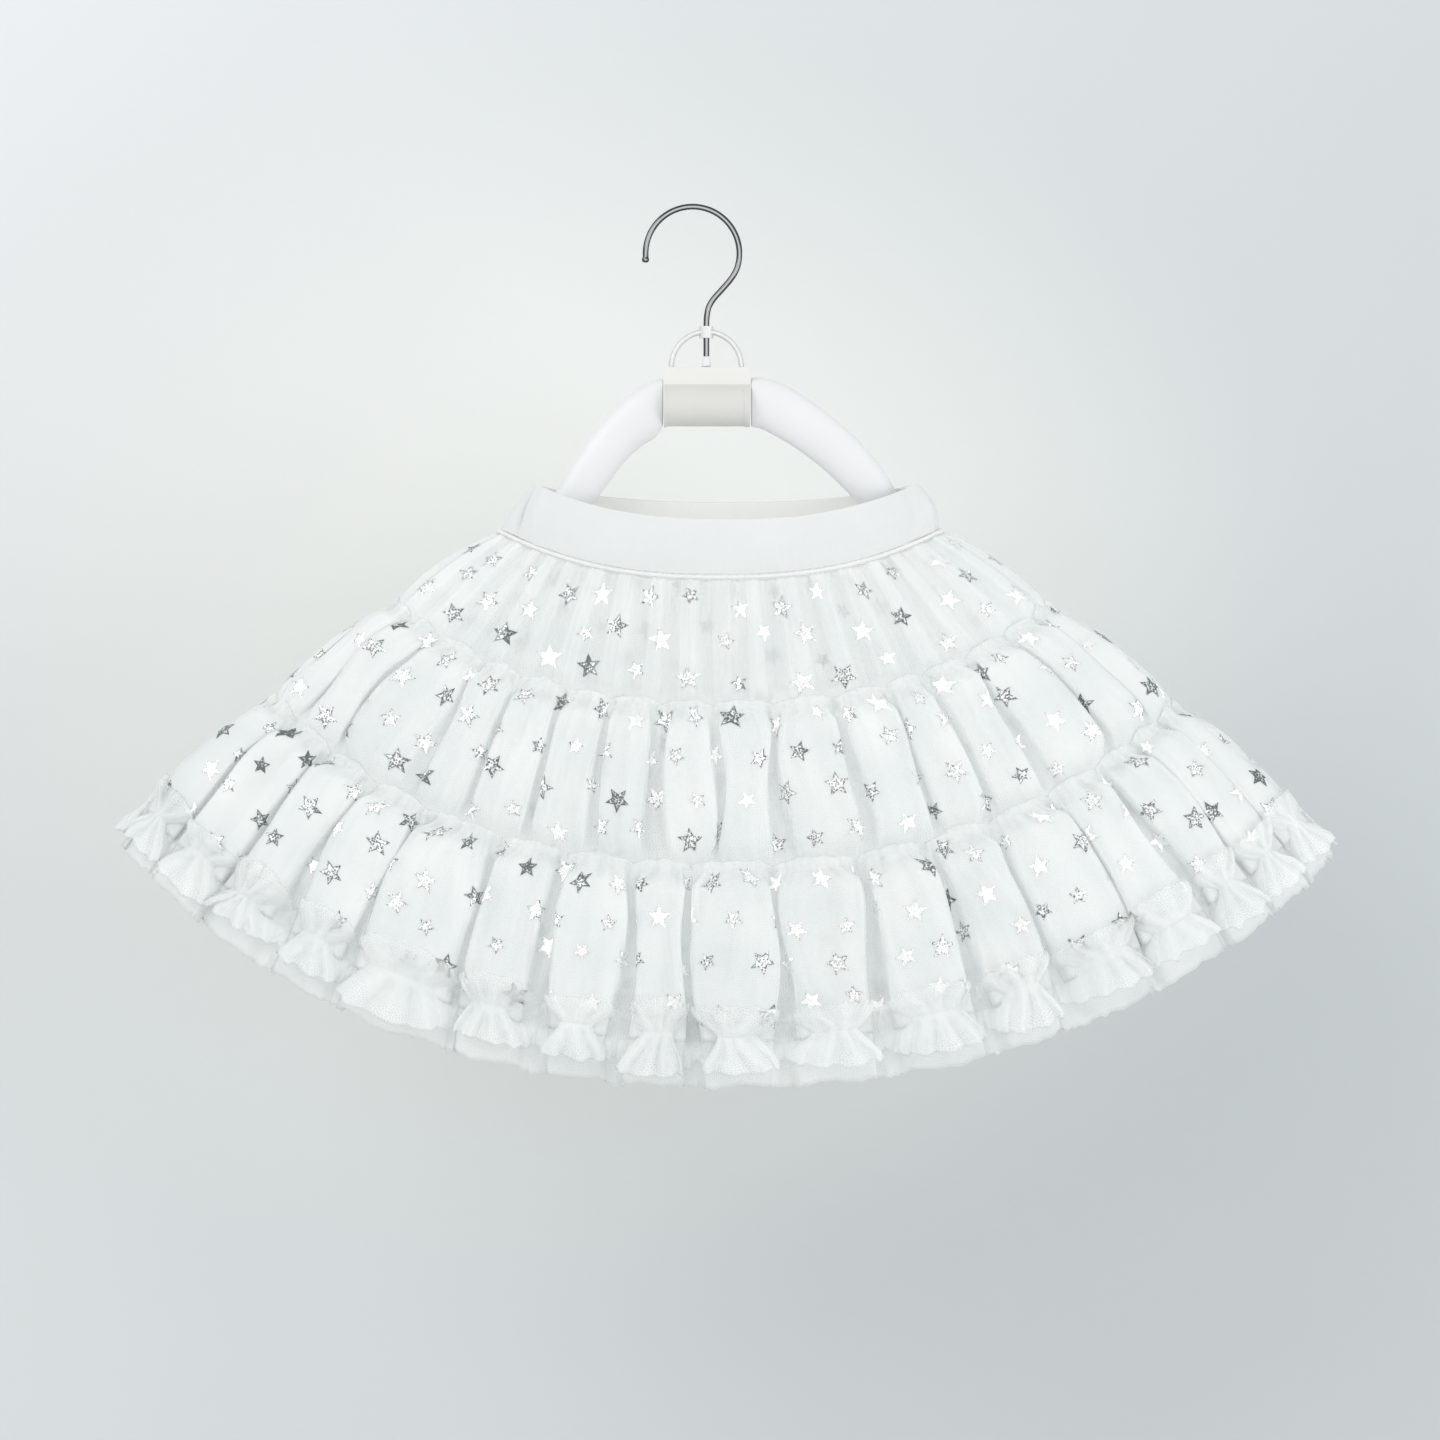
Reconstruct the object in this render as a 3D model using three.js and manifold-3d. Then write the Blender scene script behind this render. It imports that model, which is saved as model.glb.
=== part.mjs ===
// Toddler's tiered tulle tutu skirt hanging on a child's hanger.
// Millimetres, +Z up, +X to the wearer's left as seen from the front, front of the skirt towards -Y.
// The origin is the underside of the hook's crown, where the hanger rests on its rail.
import * as THREE from 'three';
import { mergeVertices } from 'three/addons/utils/BufferGeometryUtils.js';
import Module from 'manifold-3d';

const wasm = await Module();
wasm.setup();

// ---- driving sizes ----
const clearance = 0.3;                  // left free between neighbouring pieces
const wall = { band: 2.4, tulle: 1.2, ruffle: 1.1 };

// The skirt as a whole: a flattened cone that fans out to the sides.
// "at" angles run round the skirt: 0 front centre, +90 right-hand side, 180 back centre.
const skirt = {
  centreX: 12, halfWidth: 97,           // waist seam, seen from the front
  frontDepth: 20, backDepth: 15,        // waist seam, seen from the side
  hemFrontDepth: 58, hemBackDepth: 42,
  sideZ: -141.5, frontSag: 20.5, backSag: 13,
  slant: 225, lean: 50.5, frontLean: 1.35, leftLean: 1.9,
  leftShort: 0.04, puff: 2.6, seamWave: 0.3,
};
const waist = {
  topCentreX: 14.5, topHalfWidth: 84, topFrontDepth: 18.5, topBackDepth: 14,
  topSideZ: -121, topFrontSag: 16, topBackSag: 7.5, rightPuff: 2.6, seamAbove: 1.5,
};
const piping = { radius: 0.9, columns: 60, sides: 5 };
const seams = { waist: 1.5, first: 58, second: 129, pinch: 202, tierEnd: 205, ruffleTop: 189, ruffleEnd: 219, underEnd: 224.5 };
const flare = { header: 3.2, hem: 5.2, under: 4.2 };

// One row for each gap between two gathers: where it lies, how far it sinks,
// how far the gather after it stands out.
const tierOneFolds = [
  { at: -82, gap: 1.2, crest: 1.4 }, { at: -69, gap: 1.6, crest: 1.8 }, { at: -57, gap: 1.7, crest: 1.5 },
  { at: -50, gap: 1.9, crest: 1.7 }, { at: -42.8, gap: 1.5, crest: 1.9 }, { at: -35.6, gap: 2.0, crest: 2.0 },
  { at: -26.5, gap: 2.2, crest: 2.1 }, { at: -17.4, gap: 1.9, crest: 1.7 }, { at: -10.5, gap: 1.6, crest: 2.0 },
  { at: -2.8, gap: 2.2, crest: 1.4 }, { at: 3.6, gap: 1.7, crest: 1.9 }, { at: 9.9, gap: 2.0, crest: 2.1 },
  { at: 19.5, gap: 2.2, crest: 1.7 }, { at: 27.2, gap: 1.6, crest: 2.0 }, { at: 35.7, gap: 2.1, crest: 2.2 },
  { at: 44.8, gap: 1.8, crest: 1.9 }, { at: 53.5, gap: 1.6, crest: 2.1 }, { at: 66, gap: 1.8, crest: 1.6 },
  { at: 80, gap: 1.2, crest: 1.4 },
];
const tierTwoFolds = [
  { at: -84, gap: 2.0, crest: 2.6 }, { at: -72.3, gap: 3.0, crest: 3.0 }, { at: -60.4, gap: 3.4, crest: 3.4 },
  { at: -47.9, gap: 3.2, crest: 2.6 }, { at: -39.4, gap: 3.8, crest: 3.3 }, { at: -30.4, gap: 3.6, crest: 3.0 },
  { at: -21.4, gap: 3.2, crest: 3.8 }, { at: -11.4, gap: 4.6, crest: 3.6 }, { at: -1.2, gap: 3.4, crest: 3.9 },
  { at: 9.2, gap: 4.8, crest: 3.8 }, { at: 20, gap: 3.6, crest: 3.4 }, { at: 29.8, gap: 4.0, crest: 2.8 },
  { at: 37, gap: 3.2, crest: 3.6 }, { at: 47.2, gap: 3.6, crest: 3.4 }, { at: 58.5, gap: 3.4, crest: 3.2 },
  { at: 71, gap: 2.8, crest: 2.6 }, { at: 83, gap: 2.0, crest: 2.4 },
];
// "split" shares the ruffle's two flutes over each gather of the last tier.
const tierThreeFolds = [
  { at: -84, gap: 2.4, crest: 3.0, split: 0.50 }, { at: -72.4, gap: 4.0, crest: 4.4, split: 0.46 },
  { at: -62, gap: 4.4, crest: 4.0, split: 0.55 }, { at: -53, gap: 4.2, crest: 4.4, split: 0.48 },
  { at: -44.2, gap: 4.6, crest: 4.8, split: 0.54 }, { at: -33.6, gap: 5.4, crest: 5.0, split: 0.44 },
  { at: -24.5, gap: 5.8, crest: 4.6, split: 0.52 }, { at: -14.8, gap: 5.2, crest: 5.2, split: 0.57 },
  { at: -5.3, gap: 6.2, crest: 5.8, split: 0.45 }, { at: 7.5, gap: 6.4, crest: 5.6, split: 0.50 },
  { at: 18.5, gap: 5.8, crest: 5.2, split: 0.43 }, { at: 27.4, gap: 5.0, crest: 5.0, split: 0.56 },
  { at: 36.3, gap: 5.4, crest: 4.8, split: 0.47 }, { at: 45.6, gap: 4.8, crest: 4.6, split: 0.53 },
  { at: 54.4, gap: 4.4, crest: 4.4, split: 0.46 }, { at: 63.2, gap: 4.2, crest: 4.2, split: 0.52 },
  { at: 73.2, gap: 3.6, crest: 4.0, split: 0.55 }, { at: 84, gap: 2.4, crest: 3.0, split: 0.48 },
];

// Hanger.
const hook = { wire: 2.6, crownRadius: 20.66, from: 184, to: -14, tipLength: 2 };
// the wire after the crown, down to the end of its stem
const hookTail = [
  { x: 19.3, z: -24.6 }, { x: 17.0, z: -30.2 }, { x: 13.4, z: -35.0 },
  { x: 9.6, z: -39.4 }, { x: 7.0, z: -44.0 }, { x: 6.1, z: -49.5 }, { x: 6.1, z: -64.6 },
];
const ring = { centreX: 6.1, radius: 15.4, wall: 2.2, depth: 5, bossRadius: 3.1, bossTop: -51.4, bossBottom: -56.6 };
const nub = { radius: 2.2, top: -64.9, bottom: -69.2 };
const block = { left: -12.5, right: 25.3, top: -69.5, plateDepth: 14, barrelRadius: 9.75, barrelZ: -86.05, chamfer: 0.6 };
// centre line of each arm with its height across the run and its depth front to back
const leftArm = [
  { x: -12.8, z: -85.2, wide: 22, deep: 12.6, upright: true }, { x: -20.6, z: -89.4, wide: 24, deep: 12.6 },
  { x: -29.6, z: -96.4, wide: 20.5, deep: 12.2 }, { x: -40.0, z: -108.6, wide: 18.6, deep: 11.6 },
  { x: -48.0, z: -121.0, wide: 17.8, deep: 11 }, { x: -56.0, z: -131.0, wide: 15.6, deep: 9.6 },
  { x: -64.0, z: -134.6, wide: 12.4, deep: 7.6 },
];
const rightArm = [
  { x: 25.6, z: -84.6, wide: 22, deep: 12.6, upright: true }, { x: 34.0, z: -85.4, wide: 23, deep: 12.6 },
  { x: 49.0, z: -94.6, wide: 21, deep: 12.2 }, { x: 59.0, z: -102.4, wide: 20.4, deep: 11.8 },
  { x: 68.6, z: -110.6, wide: 20, deep: 11.4 }, { x: 79.0, z: -122.4, wide: 18.4, deep: 10.6 },
  { x: 85.6, z: -130.6, wide: 15.6, deep: 9.2 }, { x: 92.6, z: -134.4, wide: 12.4, deep: 7.4 },
];
const armTip = { side: 90, up: 0.5, wide: 5.6, deep: 4.0, length: 3.2, gap: 0.3 };

// ---- small helpers ----
const radians = (angle) => angle * Math.PI / 180;
const power = (value, exponent) => Math.sign(value) * Math.abs(value) ** exponent;
const mix = (a, b, share) => a + (b - a) * share;
const ease = (value) => { const v = Math.min(1, Math.max(0, value)); return v * v * (3 - 2 * v); };

// ---- the skirt's surface before it is gathered ----
function bareSkirt(angle, down) {
  const s = Math.sin(radians(angle));
  const c = Math.cos(radians(angle));
  const run = down * (1 - skirt.leftShort * Math.max(0, -s) ** 2);
  const share = Math.max(0, run) / skirt.slant;
  const top = c > 0 ? skirt.frontDepth : skirt.backDepth;
  const hem = c > 0 ? skirt.hemFrontDepth : skirt.hemBackDepth;
  const sag = c > 0 ? skirt.frontSag : skirt.backSag;
  const fan = Math.abs(s) ** (s > 0 ? skirt.frontLean : skirt.leftLean);
  const lean = radians(skirt.lean) * Math.sign(s) * fan * (1.12 - 0.12 * share);
  const tip = Math.cos(Math.asin((hem - top) / skirt.slant * Math.abs(c)));
  return new THREE.Vector3(
    skirt.centreX + skirt.halfWidth * power(s, 0.9) + run * Math.sin(lean),
    -power(c, 0.85) * (top + (hem - top) * share ** 0.9),
    skirt.sideZ - sag * (1 - Math.abs(s) ** 2.2) - run * Math.cos(lean) * tip,
  );
}

function outward(surface, angle, down) {
  const across = surface(angle + 1, down).sub(surface(angle - 1, down));
  const along = surface(angle, down + 1).sub(surface(angle, down - 1));
  return along.cross(across).normalize();
}

// ---- gathers ----
// The back carries rather fewer and wider gathers than the front, staggered and unevenly spaced.
function allRound(front) {
  const back = front.filter((row, index) => index % 5 !== 3).map((row) => ({
    ...row,
    at: 180 + row.at * 0.985 + 2.4 * Math.sin(radians(row.at * 6.5)),
    crest: row.crest * (0.86 + 0.1 * Math.sin(radians(row.at * 11))),
  }));
  return [...front, ...back.filter((row) => row.at > 95 && row.at < 265)].sort((a, b) => a.at - b.at);
}

function gather(folds, angle) {
  const first = folds[0].at;
  const turned = first + ((((angle - first) % 360) + 360) % 360);
  let index = folds.length - 1;
  while (folds[index].at > turned + 1e-9) index -= 1;
  const row = folds[index];
  const next = folds[(index + 1) % folds.length];
  const end = index + 1 < folds.length ? next.at : next.at + 360;
  const share = (turned - row.at) / (end - row.at);
  return { row, next, share, span: end - row.at };
}

// Broad rounded gather between two narrow gaps.
function foldHeight(folds, angle) {
  const { row, next, share } = gather(folds, angle);
  const floor = -mix(row.gap, next.gap, share);
  return floor + (row.crest - floor) * Math.sin(Math.PI * Math.min(1, Math.max(0, share))) ** 0.55;
}

// The seams lie flatter than the gathers that run into them.
function seamHeight(folds, angle) {
  const { row, next, share } = gather(folds, angle);
  const floor = -mix(row.gap, next.gap, share);
  return skirt.seamWave * (floor + (row.crest - floor) * Math.sin(Math.PI * Math.min(1, Math.max(0, share))));
}

// Angles at which a gathered wall is sectioned: the gap, both shoulders and the crest of each gather.
function sections(folds, shares) {
  return folds.flatMap((row, index) => {
    const end = index + 1 < folds.length ? folds[index + 1].at : folds[0].at + 360;
    return shares(row).map((share) => mix(row.at, end, share));
  });
}

const foldsOne = allRound(tierOneFolds);
const foldsTwo = allRound(tierTwoFolds);
const foldsThree = allRound(tierThreeFolds);

// Each tier's own gathers stand out between its seams, where its cloth also puffs a little.
const bow = (t) => Math.sin(Math.PI * Math.min(1, Math.max(0, t)));
function tierHeight(own, above, angle, t, strength, fall) {
  const start = above ? seamHeight(above, angle) : 0;
  const end = fall ? seamHeight(own, angle) : 0;
  const gathers = strength * foldHeight(own, angle);
  const held = mix(gathers, end, fall * ease((t - 0.6) / 0.4));
  return mix(start, held, above ? ease(t / 0.3) : 1) + skirt.puff * bow(t);
}
function tierOne(angle, down) {
  const t = (down - seams.waist) / (seams.first - seams.waist);
  return tierHeight(foldsOne, null, angle, t, mix(1, 0.8, t), 1);
}
function tierTwo(angle, down) {
  const t = (down - seams.first) / (seams.second - seams.first);
  return tierHeight(foldsTwo, foldsOne, angle, t, 1, 1);
}
function tierThree(angle, down) {
  const t = (down - seams.second) / (seams.pinch - seams.second);
  return tierHeight(foldsThree, foldsTwo, angle, t, 1, 0);
}

// Two flutes on each gather of the last tier.
function flute(angle) {
  const { row, share } = gather(foldsThree, angle);
  const local = share < row.split ? share / row.split : (share - row.split) / (1 - row.split);
  return Math.sin(Math.PI * Math.min(1, Math.max(0, local)));
}
// The last tier as it is sectioned: its height between two sections, and how much further a
// piece laid over it has to stand off where the gather's side is steep.
const shareOfGather = { shoulder: 0.16, fall: 0.84 };
const tierThreeSections = sections(foldsThree, (row) => [0, shareOfGather.shoulder, row.split, shareOfGather.fall]);
function overTierThree(angle, down) {
  const count = tierThreeSections.length;
  const at = (j) => tierThreeSections[((j % count) + count) % count] + 360 * Math.floor(j / count);
  const first = at(0);
  const turned = first + ((((angle - first) % 360) + 360) % 360);
  let j = count - 1;
  while (at(j) > turned + 1e-7) j -= 1;
  const steep = (k) => {
    const arc = bareSkirt(at(k), down).distanceTo(bareSkirt(at(k + 1), down));
    return Math.hypot(1, (tierThree(at(k + 1), down) - tierThree(at(k), down)) / arc);
  };
  const share = (turned - at(j)) / (at(j + 1) - at(j));
  const mitre = mix(Math.max(steep(j - 1), steep(j)), Math.max(steep(j), steep(j + 1)), share);
  return { height: mix(tierThree(at(j), down), tierThree(at(j + 1), down), share), mitre };
}
const ruffleOffset = (wall.tulle + wall.ruffle) / 2 + clearance + 0.1;
function ruffle(angle, down) {
  const away = down - seams.pinch;
  const reach = away < 0
    ? flare.header * (-away / (seams.pinch - seams.ruffleTop))
    : flare.hem * ease(0.15 + 0.85 * away / (seams.ruffleEnd - seams.pinch)) * Math.min(1, away / 3);
  const { height, mitre } = overTierThree(angle, down);
  const sides = 1 - 0.55 * Math.abs(Math.sin(radians(angle))) ** 6;
  return height + ruffleOffset * mitre + reach * sides * (0.15 + 0.85 * flute(angle));
}
// The raw-edged layer below hangs straighter than the gathers over it.
function underRuffle(angle, down) {
  const t = (down - seams.tierEnd) / (seams.underEnd - seams.tierEnd);
  const { height, mitre } = overTierThree(angle, down);
  const { share } = gather(foldsThree, angle);
  return height - t * (0.5 * mitre + flare.under * Math.sin(Math.PI * Math.min(1, Math.max(0, share))));
}

// ---- walls ----
// A sheet follows a height over the bare skirt; its columns run round, its rows run down.
function sheetGrid(height, columns, rows) {
  return rows.map((down) => columns.map((angle) => {
    const normal = outward(bareSkirt, angle, down);
    return bareSkirt(angle, down).addScaledVector(normal, height(angle, down));
  }));
}

// Closed wall of even thickness round a grid of mid-surface points that joins up with itself.
function tubeWall(grid, thickness) {
  const rowCount = grid.length;
  const columnCount = grid[0].length;
  const point = (i, j) => grid[i][(j + columnCount) % columnCount];
  const positions = [];
  for (const side of [1, -1]) {
    for (let i = 0; i < rowCount; i += 1) {
      for (let j = 0; j < columnCount; j += 1) {
        const up = point(Math.max(0, i - 1), j);
        const lower = point(Math.min(rowCount - 1, i + 1), j);
        const along = lower.clone().sub(up);
        const before = along.clone().cross(point(i, j).clone().sub(point(i, j - 1))).normalize();
        const after = along.clone().cross(point(i, j + 1).clone().sub(point(i, j))).normalize();
        const normal = before.clone().add(after).normalize();
        const mitre = Math.min(1.5, 1 / Math.max(0.2, normal.dot(after)));
        const p = point(i, j).clone().addScaledVector(normal, side * mitre * thickness / 2);
        positions.push(p.x, p.y, p.z);
      }
    }
  }
  const inner = rowCount * columnCount;
  const at = (i, j) => i * columnCount + (j % columnCount);
  const faces = [];
  const quad = (a, b, c, d) => faces.push(a, b, c, a, c, d);
  for (let j = 0; j < columnCount; j += 1) {
    for (let i = 0; i + 1 < rowCount; i += 1) {
      quad(at(i, j), at(i + 1, j), at(i + 1, j + 1), at(i, j + 1));
      quad(inner + at(i, j), inner + at(i, j + 1), inner + at(i + 1, j + 1), inner + at(i + 1, j));
    }
    const last = rowCount - 1;
    quad(at(0, j), at(0, j + 1), inner + at(0, j + 1), inner + at(0, j));
    quad(at(last, j + 1), at(last, j), inner + at(last, j), inner + at(last, j + 1));
  }
  return meshGeometry(positions, faces);
}

function meshGeometry(positions, faces) {
  const geometry = new THREE.BufferGeometry();
  geometry.setAttribute('position', new THREE.Float32BufferAttribute(positions, 3));
  geometry.setIndex(faces);
  geometry.computeVertexNormals();
  return geometry;
}

// Closed body through a run of rings with the same number of points each.
function loft(rings) {
  const count = rings[0].length;
  const positions = rings.flatMap((points) => points.flatMap((p) => [p.x, p.y, p.z]));
  const faces = [];
  for (let i = 0; i + 1 < rings.length; i += 1) {
    for (let j = 0; j < count; j += 1) {
      const k = (j + 1) % count;
      faces.push(i * count + j, i * count + k, (i + 1) * count + k);
      faces.push(i * count + j, (i + 1) * count + k, (i + 1) * count + j);
    }
  }
  for (const [start, flip] of [[0, true], [(rings.length - 1) * count, false]]) {
    const middle = positions.length / 3;
    const centre = new THREE.Vector3();
    for (let j = 0; j < count; j += 1) centre.add(new THREE.Vector3().fromArray(positions, (start + j) * 3));
    centre.divideScalar(count);
    positions.push(centre.x, centre.y, centre.z);
    for (let j = 0; j < count; j += 1) {
      const a = start + j;
      const b = start + (j + 1) % count;
      faces.push(...(flip ? [middle, b, a] : [middle, a, b]));
    }
  }
  const corner = (n) => new THREE.Vector3().fromArray(positions, faces[n] * 3);
  let volume = 0;
  for (let n = 0; n < faces.length; n += 3) volume += corner(n).dot(corner(n + 1).cross(corner(n + 2)));
  if (volume < 0) for (let n = 0; n < faces.length; n += 3) [faces[n], faces[n + 1]] = [faces[n + 1], faces[n]];
  return meshGeometry(positions, faces);
}

// Rounded section (bulge 2 is an ellipse, more is squarer) across a run that lies in the XZ plane.
function sectionRing(centre, tangent, wide, deep, sides, bulge) {
  const over = new THREE.Vector3(-tangent.z, 0, tangent.x);
  const points = [];
  for (let k = 0; k < sides; k += 1) {
    const turn = 2 * Math.PI * (k + 0.5) / sides;
    points.push(centre.clone()
      .addScaledVector(over, power(Math.cos(turn), 2 / bulge) * wide / 2)
      .add(new THREE.Vector3(0, power(Math.sin(turn), 2 / bulge) * deep / 2, 0)));
  }
  return points;
}

function planarSweep(rows, sides, bulge) {
  const spots = rows.map((row) => new THREE.Vector3(row.x, 0, row.z));
  return loft(rows.map((row, i) => {
    const tangent = spots[Math.min(i + 1, rows.length - 1)].clone().sub(spots[Math.max(0, i - 1)]).normalize();
    if (row.upright) tangent.set(Math.sign(tangent.x), 0, 0);
    return sectionRing(spots[i], tangent, row.wide, row.deep, sides, bulge);
  }));
}

function toSolid(geometry) {
  const bare = geometry.clone();
  bare.deleteAttribute('normal');
  if (bare.attributes.uv) bare.deleteAttribute('uv');
  const merged = mergeVertices(bare, 1e-4);
  return new wasm.Manifold(new wasm.Mesh({
    numProp: 3,
    vertProperties: new Float32Array(merged.attributes.position.array),
    triVerts: new Uint32Array(merged.index.array),
  }));
}
function fromSolid(solid) {
  const mesh = solid.getMesh();
  return meshGeometry(Array.from(mesh.vertProperties), Array.from(mesh.triVerts));
}

// ---- waistband: a wide elastic that leans out towards the skirt ----
function bandPoint(angle, share) {
  const s = Math.sin(radians(angle));
  const c = Math.cos(radians(angle));
  const lower = bareSkirt(angle, -waist.seamAbove);
  const depth = c > 0 ? waist.topFrontDepth : waist.topBackDepth;
  const sag = c > 0 ? waist.topFrontSag : waist.topBackSag;
  const upper = new THREE.Vector3(
    waist.topCentreX + waist.topHalfWidth * power(s, 0.9),
    -power(c, 0.85) * depth,
    waist.topSideZ - sag * (1 - Math.abs(s) ** 2.2),
  );
  const swell = waist.rightPuff * Math.sin(Math.PI * share) * Math.max(0, s) ** 8;
  return upper.lerp(lower, share).add(new THREE.Vector3(swell, 0, 0));
}
const evenAngles = (count) => Array.from({ length: count }, (_, k) => -180 + 360 * k / count);
function waistband() {
  const shares = [0, 0.33, 0.67, 1];
  return tubeWall(shares.map((share) => evenAngles(60).map((angle) => bandPoint(angle, share))), wall.band);
}

// thin raised cord of the waist seam, between the band and the first tier
function pipingRing() {
  const columns = evenAngles(piping.columns);
  const rings = [];
  for (let k = 0; k < piping.sides; k += 1) {
    const turn = 2 * Math.PI * k / piping.sides;
    rings.push(columns.map((angle) => {
      const out = outward(bareSkirt, angle, 1);
      const along = bareSkirt(angle, 1).sub(bareSkirt(angle, 0)).normalize();
      return bareSkirt(angle, 0.25)
        .addScaledVector(out, piping.radius * Math.cos(turn) + 0.5)
        .addScaledVector(along, piping.radius * Math.sin(turn));
    }));
  }
  const positions = rings.flatMap((points) => points.flatMap((p) => [p.x, p.y, p.z]));
  const faces = [];
  const count = columns.length;
  for (let i = 0; i < rings.length; i += 1) {
    const n = (i + 1) % rings.length;
    for (let j = 0; j < count; j += 1) {
      const k = (j + 1) % count;
      faces.push(i * count + j, n * count + j, n * count + k, i * count + j, n * count + k, i * count + k);
    }
  }
  return meshGeometry(positions, faces);
}

// ---- hanger pieces ----
function hookWire() {
  const rows = [];
  const centre = { x: 0, z: hook.wire / 2 - hook.crownRadius };
  const turns = 22;
  for (let k = 0; k <= turns; k += 1) {
    const a = radians(mix(hook.from, hook.to, k / turns));
    rows.push({ x: centre.x + hook.crownRadius * Math.cos(a), z: centre.z + hook.crownRadius * Math.sin(a), wide: hook.wire, deep: hook.wire });
  }
  const tail = new THREE.CatmullRomCurve3(
    [rows[rows.length - 1], ...hookTail].map((row) => new THREE.Vector3(row.x, 0, row.z)), false, 'centripetal');
  for (let k = 1; k <= 14; k += 1) {
    const p = tail.getPointAt(k / 14);
    rows.push({ x: p.x, z: p.z, wide: hook.wire, deep: hook.wire });
  }
  const start = rows[0];
  rows.unshift({ x: start.x, z: start.z - hook.tipLength, wide: hook.wire * 0.55, deep: hook.wire * 0.55 });
  return planarSweep(rows, 8, 2);
}

function halfRing() {
  const rows = [];
  const base = block.top + clearance;
  for (let k = 0; k <= 16; k += 1) {
    const a = Math.PI * k / 16;
    rows.push({ x: ring.centreX + ring.radius * Math.cos(a), z: base + ring.radius * Math.sin(a), wide: ring.wall, deep: ring.depth });
  }
  const arch = toSolid(planarSweep(rows, 8, 4));
  const height = ring.bossTop - ring.bossBottom;
  const boss = new THREE.CylinderGeometry(ring.bossRadius, ring.bossRadius, height, 14).rotateX(Math.PI / 2);
  boss.translate(ring.centreX, 0, (ring.bossTop + ring.bossBottom) / 2);
  const bore = new THREE.CylinderGeometry(hook.wire / 2 + clearance, hook.wire / 2 + clearance, height + 4, 14).rotateX(Math.PI / 2);
  bore.translate(ring.centreX, 0, (ring.bossTop + ring.bossBottom) / 2);
  return fromSolid(arch.add(toSolid(boss)).subtract(toSolid(bore)));
}

function stemNub() {
  const geometry = new THREE.CylinderGeometry(nub.radius * 0.8, nub.radius, nub.top - nub.bottom, 12).rotateX(Math.PI / 2);
  return geometry.translate(ring.centreX, 0, (nub.top + nub.bottom) / 2);
}

// barrel along X with a flat plate on top, as one moulding
function centreBlock() {
  const profile = [];
  const half = block.plateDepth / 2;
  profile.push({ y: -half, z: block.top }, { y: half, z: block.top });
  const lift = Math.asin(half / block.barrelRadius);
  for (let k = 0; k <= 18; k += 1) {
    const a = Math.PI / 2 - lift - (2 * Math.PI - 2 * lift) * k / 18;
    profile.push({ y: block.barrelRadius * Math.cos(a), z: block.barrelZ + block.barrelRadius * Math.sin(a) });
  }
  const middle = (block.top + block.barrelZ - block.barrelRadius) / 2;
  const ringAt = (x, shrink) => profile.map((p) => new THREE.Vector3(
    x, p.y * (1 - shrink / half), middle + (p.z - middle) * (1 - shrink / 13)));
  return loft([
    ringAt(block.left, block.chamfer), ringAt(block.left + block.chamfer, 0),
    ringAt(block.right - block.chamfer, 0), ringAt(block.right, block.chamfer),
  ]);
}

// The end of each arm turns square on to the band and presses it out from inside.
function arm(table, side) {
  const inside = bandPoint(side * armTip.side, armTip.up);
  const downBand = bandPoint(side * armTip.side, armTip.up + 0.2).sub(bandPoint(side * armTip.side, armTip.up - 0.2));
  const out = new THREE.Vector3(-downBand.z, 0, downBand.x).normalize().multiplyScalar(side);
  const seat = wall.band / 2 + clearance;
  const at = (back, wide, deep) => ({ x: inside.x - out.x * back, z: inside.z - out.z * back, wide, deep });
  return planarSweep([...table, at(seat + armTip.length, armTip.wide, armTip.deep),
    at(seat + armTip.gap, armTip.wide * 0.6, armTip.deep * 0.5)], 12, 2.6);
}

// ---- the scene ----
const materials = {
  satin: { color: 0xf2f4f5, roughness: 0.6, metalness: 0 },
  tulle: { color: 0xeef1f2, roughness: 0.75, metalness: 0 },
  chrome: { color: 0xc9ccce, roughness: 0.12, metalness: 1 },
  clear: { color: 0xeaf0f0, roughness: 0.05, metalness: 0 },
  plastic: { color: 0xf0efec, roughness: 0.3, metalness: 0 },
};
const tutu = new THREE.Group();
function place(name, geometry, look) {
  const mesh = new THREE.Mesh(geometry, new THREE.MeshStandardMaterial(materials[look]));
  mesh.name = name;
  tutu.add(mesh);
}

const quarters = () => [0, 0.16, 0.5, 0.84];
const thirds = () => [0, 0.28, 0.72];
const half = 0.25;                      // half the gap left at a seam between two gathered tiers
const rowsBetween = (from, to, shares) => shares.map((share) => mix(from, to, share));

place('waistband', waistband(), 'satin');
place('waist_seam_piping', pipingRing(), 'satin');
place('tier_1', tubeWall(sheetGrid(tierOne, sections(foldsOne, thirds),
  rowsBetween(seams.waist, seams.first - half, [0, 0.3, 0.7, 1])), wall.tulle), 'tulle');
place('tier_2', tubeWall(sheetGrid(tierTwo, sections(foldsTwo, quarters),
  rowsBetween(seams.first + half, seams.second - half, [0, 0.14, 0.4, 0.74, 1])), wall.tulle), 'tulle');
place('tier_3', tubeWall(sheetGrid(tierThree, tierThreeSections, [
  ...rowsBetween(seams.second + half, seams.tierEnd, [0, 0.14, 0.36]), seams.ruffleTop, seams.tierEnd]), wall.tulle), 'tulle');
place('hem_ruffle', tubeWall(sheetGrid(ruffle, sections(foldsThree, (row) => [
  0, shareOfGather.shoulder, row.split * 0.62, row.split * 0.82,
  row.split, mix(row.split, 1, 0.2), mix(row.split, 1, 0.42), shareOfGather.fall]),
[seams.ruffleTop, seams.pinch, seams.pinch + 7, seams.ruffleEnd]), wall.ruffle), 'tulle');
place('hem_under_ruffle', tubeWall(sheetGrid(underRuffle, tierThreeSections,
  [seams.tierEnd + clearance, seams.underEnd]), wall.ruffle), 'tulle');
place('hanger_hook', hookWire(), 'chrome');
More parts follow.
